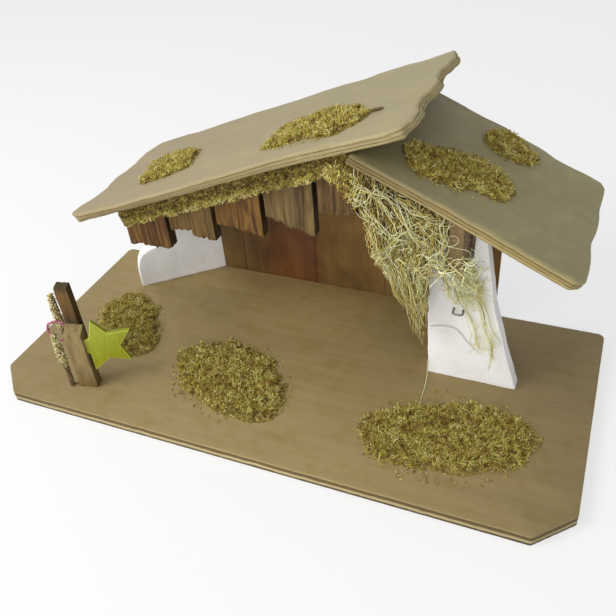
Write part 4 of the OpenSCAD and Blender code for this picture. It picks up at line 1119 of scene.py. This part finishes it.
# %% Hay sheaf
# Lines that cross in front of the sheaf, each drawn as (x, z) corners in millimetres.
crossing = [
    [(74.5, 178), (82, 173), (87, 167.5), (89.4, 161), (93, 154.6), (96, 149), (100.7, 145), (106, 142.8)],
    [(82, 171), (87, 164), (90.7, 156.5), (94.7, 150.5), (99.4, 146), (103.3, 143)],
    [(61, 163), (66.3, 158.5), (72, 153.5), (77, 148.3), (84, 143.5), (90, 143)],
    [(69.7, 160.5), (72, 153.5), (72.8, 146), (74.7, 136.4), (78, 127.5), (81.5, 122)],
    [(88.7, 172), (93.8, 165.7), (100, 164), (106.7, 160.6), (113, 159.5)],
    [(85.4, 173.7), (95, 169.5), (102.7, 165), (109, 163.8)],
    [(76, 132.7), (84, 140.4), (90.8, 147.6), (95.4, 149.2), (100.7, 145.6), (108.5, 144)],
    [(76.7, 128), (83, 136.3), (87.5, 144), (89.5, 150.4)],
    [(116.6, 163.6), (115, 156.2), (117.7, 151.5), (117.5, 143.3), (114.6, 136.7)],
    [(113.6, 160.3), (113.3, 153), (115.4, 147.4), (114.4, 139.8), (117.4, 131)],
    [(88.4, 120.7), (91.2, 109.8), (94.8, 101.4), (97, 90)],
    [(62.8, 178), (68, 175.3), (74.4, 170), (78.3, 165.5), (81.6, 159.4)],
    [(100.4, 156), (106.7, 158.4), (112, 157)],
    [(59.5, 180), (65.4, 178), (72, 177), (79, 175)],
]
loops = [
    [(62.3, 181), (61.4, 175), (59.2, 169.8), (55.7, 165), (58.3, 163.5), (61, 165), (60.6, 170.7),
     (64, 175.5), (66.6, 173.7), (67.5, 168), (67, 163)],
    [(76.7, 131), (72.6, 131.3), (69, 128), (71.8, 126.3), (76, 128)],
    [(76, 126.3), (72.5, 125.7), (71, 122), (74.5, 121)],
]


def sheaf_top(u, v):
    """A spot in the sheaf's crossing upper part."""
    x = 63 + 51 * u
    return x, roof_under(x) - 2 - 32 * v


def sheaf_middle(u, v):
    """A spot in the middle of the sheaf."""
    return 75 + 37 * u, 118 + 30 * v


body = np.concatenate([
    falling(300, 55, 95, 1.3, (5, 6.5)), falling(180, 60, 125, 2.2, (1, 7)),
    falling(120, 80, 140, 2.2, (-1, 6), (0, 0.45)), falling(14, 48, 56, 1.0, (4, 3), (0.55, 1))])
front = [tangled(190, sheaf_top, (10, 30), 0.15, (-7, 5)), tangled(80, sheaf_middle, (9, 22), 0.17, (-6, 2))]
for loose in front:
    edge = np.interp(loose[..., 2], *sheaf_left.T)
    loose[..., 0] += np.maximum(edge - 1 - loose[..., 0], 0) * 1.6
front += [drawn(corners, 4, 1.3, (-8, -4)) for corners in crossing]
front += [drawn(corners, 3, 0.9, (-8, -5), 0.3) for corners in loops]
front = np.concatenate(front)
front[..., 2] = np.minimum(front[..., 2], roof_under(front[..., 0]) - 0.3)
# Body strands lying deeper in the sheaf and higher up under the roof get a darker tone: painted shade. The
# last factor makes the lower strands browner, which is the hay's own colour.
shade_and_colour_tone = np.clip(0.64 - 0.045 * body[..., 1], 0.05, 0.72)
shade_and_colour_tone = shade_and_colour_tone * np.clip(1.2 - (body[..., 2] - 95) / 85, 0.3, 1)
shade_and_colour_tone = shade_and_colour_tone * np.interp(body[..., 2], [60, 95, 120], [0.82, 0.92, 1])
body_tones = np.clip(shade_and_colour_tone + 0.29 * rng.normal(size=(len(body), 1)), 0, 1)
front_tones = np.clip(rng.normal(0.8, 0.27, (len(front), 1)), 0, 1) * np.ones((1, steps))
for name, strands, radii, tones in (("hay_sheaf_body", body, (0.18, 0.34), body_tones),
                                    ("hay_sheaf_front", front, (0.2, 0.38), front_tones)):
    hay = bundle(name, strands * MM, taper(len(strands), *radii), tones, flatten=0.55)
    stand_in(hay, "hay", hay_finish, "hay_sheaf")

# %% [markdown]
# The right tuft is pulled out under the beam and hangs over the white wall: a tangle at the beam's end that
# thins out to a few ends. One strand has come down: it leans on the wall's foot and lies on the base board.

# %% Hay tuft
# The strands stay just in front of the white wall, whose face is at 19.
BEFORE_WALL = 17.6
rng = np.random.default_rng(61)
over_wall = [
    [(110, 138.7), (113, 130), (114.8, 120.7), (117.3, 110.6), (120, 100.3), (123, 90.7), (125.4, 87)],
    [(101.6, 131), (106, 124.6), (110.8, 120), (115.7, 116), (118, 106.6)],
    [(99.7, 127.4), (104, 118.6), (111, 111.8), (116, 104.5), (120, 93.5)],
    [(100.8, 135.5), (107.7, 131.3), (113.3, 125), (115.7, 116)],
]
hanging = [
    ([(116.2, 122.5), (120, 114.3), (124.6, 105.3), (128.5, 96.8), (132.4, 89), (136, 86.4)], 8, 1.8),
    ([(128, 124), (132.7, 115), (136, 106), (138, 96.4), (139.3, 88), (141.5, 77), (144.5, 65), (148, 57),
      (150, 51), (150, 41), (150, 30.5)], 3, 0.8),
    ([(126, 89.4), (130, 80), (134.4, 69), (138, 56), (142.4, 46)], 4, 1.1),
    ([(127, 123), (129.5, 113), (134.3, 101.5), (137.7, 91), (139, 83.6)], 7, 1.6),
    ([(135.8, 90), (138.5, 99), (140.2, 107.7)], 4, 0.9),
    ([(117.8, 117), (122.8, 113), (128.7, 115), (130.3, 121)], 5, 1.3),
    ([(138.5, 90.5), (142.8, 78.3), (145, 67), (150, 56.5), (153.6, 49)], 4, 1.2),
    ([(149, 51.6), (151, 45.4), (153.7, 39.4)], 1, 0.3),
    ([(119.8, 118.3), (122.4, 108), (125.7, 98), (123.5, 87)], 7, 1.8),
    ([(131.4, 114), (128, 103.5), (124.5, 94.3), (123, 85)], 6, 1.8),
]


def beam_end(u, v):
    """A spot in the tangle under the beam's front end."""
    z = 122 - 34 * v
    return 115 + 13 * u + 0.35 * (122 - z), z


def beam_face(u, v):
    """A spot in front of the beam's end."""
    return 113 + 19 * u, 119 + 14 * v


def tuft_tip(u, v):
    """A spot in the last thin ends of the tuft."""
    return 136 + 14 * u, 48 + 16 * v


pulled = [drawn(corners, 7, 1.9, (6, 11)) for corners in over_wall]
pulled += [drawn(corners, copies + 2, spread, (11.5, 16.5)) for corners, copies, spread in hanging]
pulled += [tangled(75, beam_end, (10, 24), 0.18, (8, 16)),
           tangled(12, tuft_tip, (7, 15), 0.2, (14, 17)),
           tangled(34, beam_face, (10, 24), 0.2, (-7, -4.5))]
pulled = np.concatenate(pulled)
pulled[..., 1] = np.minimum(pulled[..., 1], BEFORE_WALL)
fallen = np.array([(103.2, BEFORE_WALL, 24), (103.4, 17.2, 14), (104, 15, 11.2), (105, 8, 10.5),
                   (105.9, -1, 10.4), (106.4, -11, 10.4), (106.7, -20, 10.6)])
marks = np.linspace(0, len(fallen) - 1, steps)
single = np.stack([np.interp(marks, range(len(fallen)), fallen[:, k]) for k in range(3)], axis=1)[None]
lines = np.concatenate([pulled, single])
tones = np.clip(rng.normal(0.88, 0.27, (len(lines), 1)), 0.15, 1)
radii = taper(len(lines), 0.22, 0.42)
radii[-1], tones[-1] = radii[-1] * 1.3, 0.95
tuft = bundle("hay_tuft_strands", lines * MM, radii, tones, flatten=0.6)
stand_in(tuft, "hay", hay_finish, "hay_tuft")

# %% [markdown]
# ## Lichen, loop and metal
#
# Yellow lichen grows on the weather side of both upright twigs, in crumbs one to two millimetres across.
# The loop is two pink nylon cords twisted round each other, which let some light through. The hook is drawn
# steel wire, and the screws and nails are zinc-plated steel.

# %% Lichen
lichen_finish = strand_finish("yellow_lichen", [(0.0, "#948650"), (0.35, "#c6b774"), (0.7, "#e4d8a0"),
                                                (1.0, "#f6eed0")], 0.9, 5, [(0.3, 0.8), (0.7, 1.0)])


def lichen(node, low, high, seed, count):
    """Crumbs of lichen on a twig between two heights in millimetres."""
    rng = np.random.default_rng(seed)
    starts, normals, _ = surface_points(node, Vector((-0.5, -0.86, 0)), count * 3, rng, least=-0.6)
    keep = (starts[:, 2] > (low + 8 * rng.random(count * 3)) * MM) & (starts[:, 2] < high * MM)
    starts, normals = starts[keep][:count], normals[keep][:count]
    ways = unit(normals + 0.9 * rng.normal(size=starts.shape))
    lines = curls(starts, ways, (0.8, 2.0), (0.2, 1.0), rng, steps=4)
    thick = rng.uniform(0.4, 0.9, (len(lines), 1)) * np.array([[1, 1.15, 0.9, 0.5]]) * MM
    crumbs = bundle(node + "_lichen", lines, thick, rng.random(len(lines)), flatten=0.5)
    stand_in(crumbs, "twig_bark", lichen_finish)


lichen("rear_twig", 36, 73, 71, 620)
lichen("front_twig", 30, 64, 72, 560)

# %% Twisted loop
ring = np.array([v.co[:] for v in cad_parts["cord_loop"].data.vertices])
middle = (ring.max(0) + ring.min(0)) / 2
spread = np.linalg.eigh(np.cov((ring - middle).T))[1]
axis, first, second = spread[:, 0], spread[:, 1], spread[:, 2]
turns = np.linspace(0, 2 * math.pi, 121)
middle = middle + np.array([-2.8, 0, 0.4]) * MM
LOOP_RADIUS, CORD_OFFSET, CORD_RADIUS = 9.4, 0.75, 0.72
cords = []
for start in (0, math.pi):
    twist = turns * 7 + start
    reach = (LOOP_RADIUS + CORD_OFFSET * np.cos(twist)) * MM
    cords.append(middle + reach[:, None] * (np.cos(turns)[:, None] * first + np.sin(turns)[:, None] * second)
                 + (CORD_OFFSET * MM * np.sin(twist))[:, None] * axis)
nylon = new_finish("pink_nylon_cord")
tone = add(nylon, "Attribute", attribute_name="tone")
hue = add(nylon, "ValToRGB", {"Fac": tone.outputs["Fac"]},
          stops=[(0.0, "#b8506c"), (0.5, "#cc7388"), (1.0, "#dc98a6")])
shader = add(nylon, "BsdfPrincipled", {"Base Color": hue.outputs[0], "Roughness": 0.35, "IOR": 1.5,
                                       "Transmission Weight": 0.2})
add(nylon, "OutputMaterial", {"Surface": shader.outputs[0]})
radii = np.full((len(cords), len(turns)), CORD_RADIUS * MM)
loop = bundle("twisted_pink_loop", np.array(cords), radii, np.array([0.25, 0.8]))
stand_in(loop, "pink_cord", nylon, "cord_loop")

# %% Metal
metal = new_finish("drawn_steel_wire")
spot = add(metal, "TexCoord").outputs["Object"]
scratch = add(metal, "TexNoise", {"Vector": spot, "Scale": 1 / (1.2 * MM), "Detail": 3.0})
shade = add(metal, "ValToRGB", {"Fac": scratch.outputs[0]}, stops=[(0.3, "#6e6c68"), (0.7, "#a3a19c")])
dull = add(metal, "MapRange", {"Value": scratch.outputs[0], "To Min": 0.3, "To Max": 0.5})
shader = add(metal, "BsdfPrincipled", {"Base Color": shade.outputs[0], "Metallic": 1.0,
                                       "Roughness": dull.outputs[0]})
add(metal, "OutputMaterial", {"Surface": shader.outputs[0]})
zinc = metal.copy()
zinc.name = "zinc_plated_steel"
for node, finish in (("lantern_hook", metal), ("wall_screws", zinc), ("back_nails", zinc)):
    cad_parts[node].data.materials.clear()
    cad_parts[node].data.materials.append(finish)
print("metal pieces: 3")

# %% [markdown]
# ## Floor and light
#
# A pale studio floor and a white surround, one large soft lamp from the front left and a weak one from the
# front. The lamps are set so that a colour on a level face renders about as it is written.

# %% Floor, surround and lamps
bpy.ops.mesh.primitive_plane_add(size=6, location=(0, 0, 0))
floor = bpy.context.object
floor.name = "studio_floor"
paper = new_finish("studio_paper")
ray = add(paper, "LightPath")
matte = add(paper, "BsdfDiffuse", {"Color": "#f4f4f2"})
glow = add(paper, "Emission", {"Color": "#ffffff", "Strength": 1.0})
half = add(paper, "Math", {0: ray.outputs["Is Camera Ray"], 1: 0.62}, operation="MULTIPLY")
shader = add(paper, "MixShader", {0: half.outputs[0], 1: matte.outputs[0], 2: glow.outputs[0]})
add(paper, "OutputMaterial", {"Surface": shader.outputs[0]})
floor.data.materials.append(paper)

world = bpy.data.worlds.new("studio_surround")
bpy.context.scene.world = world
world.use_nodes = True
world.node_tree.nodes.clear()
ray = add(world, "LightPath")
seen = add(world, "Math", {0: ray.outputs["Is Camera Ray"], 1: ray.outputs["Is Glossy Ray"]},
           operation="MAXIMUM")
seen = add(world, "Math", {0: seen.outputs[0], 1: ray.outputs["Is Transmission Ray"]}, operation="MAXIMUM")
soft = add(world, "Background", {"Color": "#f8f8fc", "Strength": 0.55})
white = add(world, "Background", {"Color": "#ffffff", "Strength": 1.0})
mixed = add(world, "MixShader", {0: seen.outputs[0], 1: soft.outputs[0], 2: white.outputs[0]})
add(world, "OutputWorld", {"Surface": mixed.outputs[0]})


def softbox(name, place, aim, size, power):
    """A square lamp that looks at a point."""
    bpy.ops.object.light_add(type="AREA", location=place)
    lamp = bpy.context.object
    lamp.name = name
    lamp.data.size = size
    lamp.data.energy = power
    lamp.rotation_euler = (Vector(aim) - Vector(place)).to_track_quat("-Z", "Y").to_euler()
    return lamp


softbox("key_softbox", (-0.85, -0.7, 1.0), (-0.05, 0, 0.06), 0.8, 13)
softbox("fill_softbox", (0.1, -1.35, 0.55), (0, 0, 0.08), 1.0, 5.4)
print("lamps: 2")
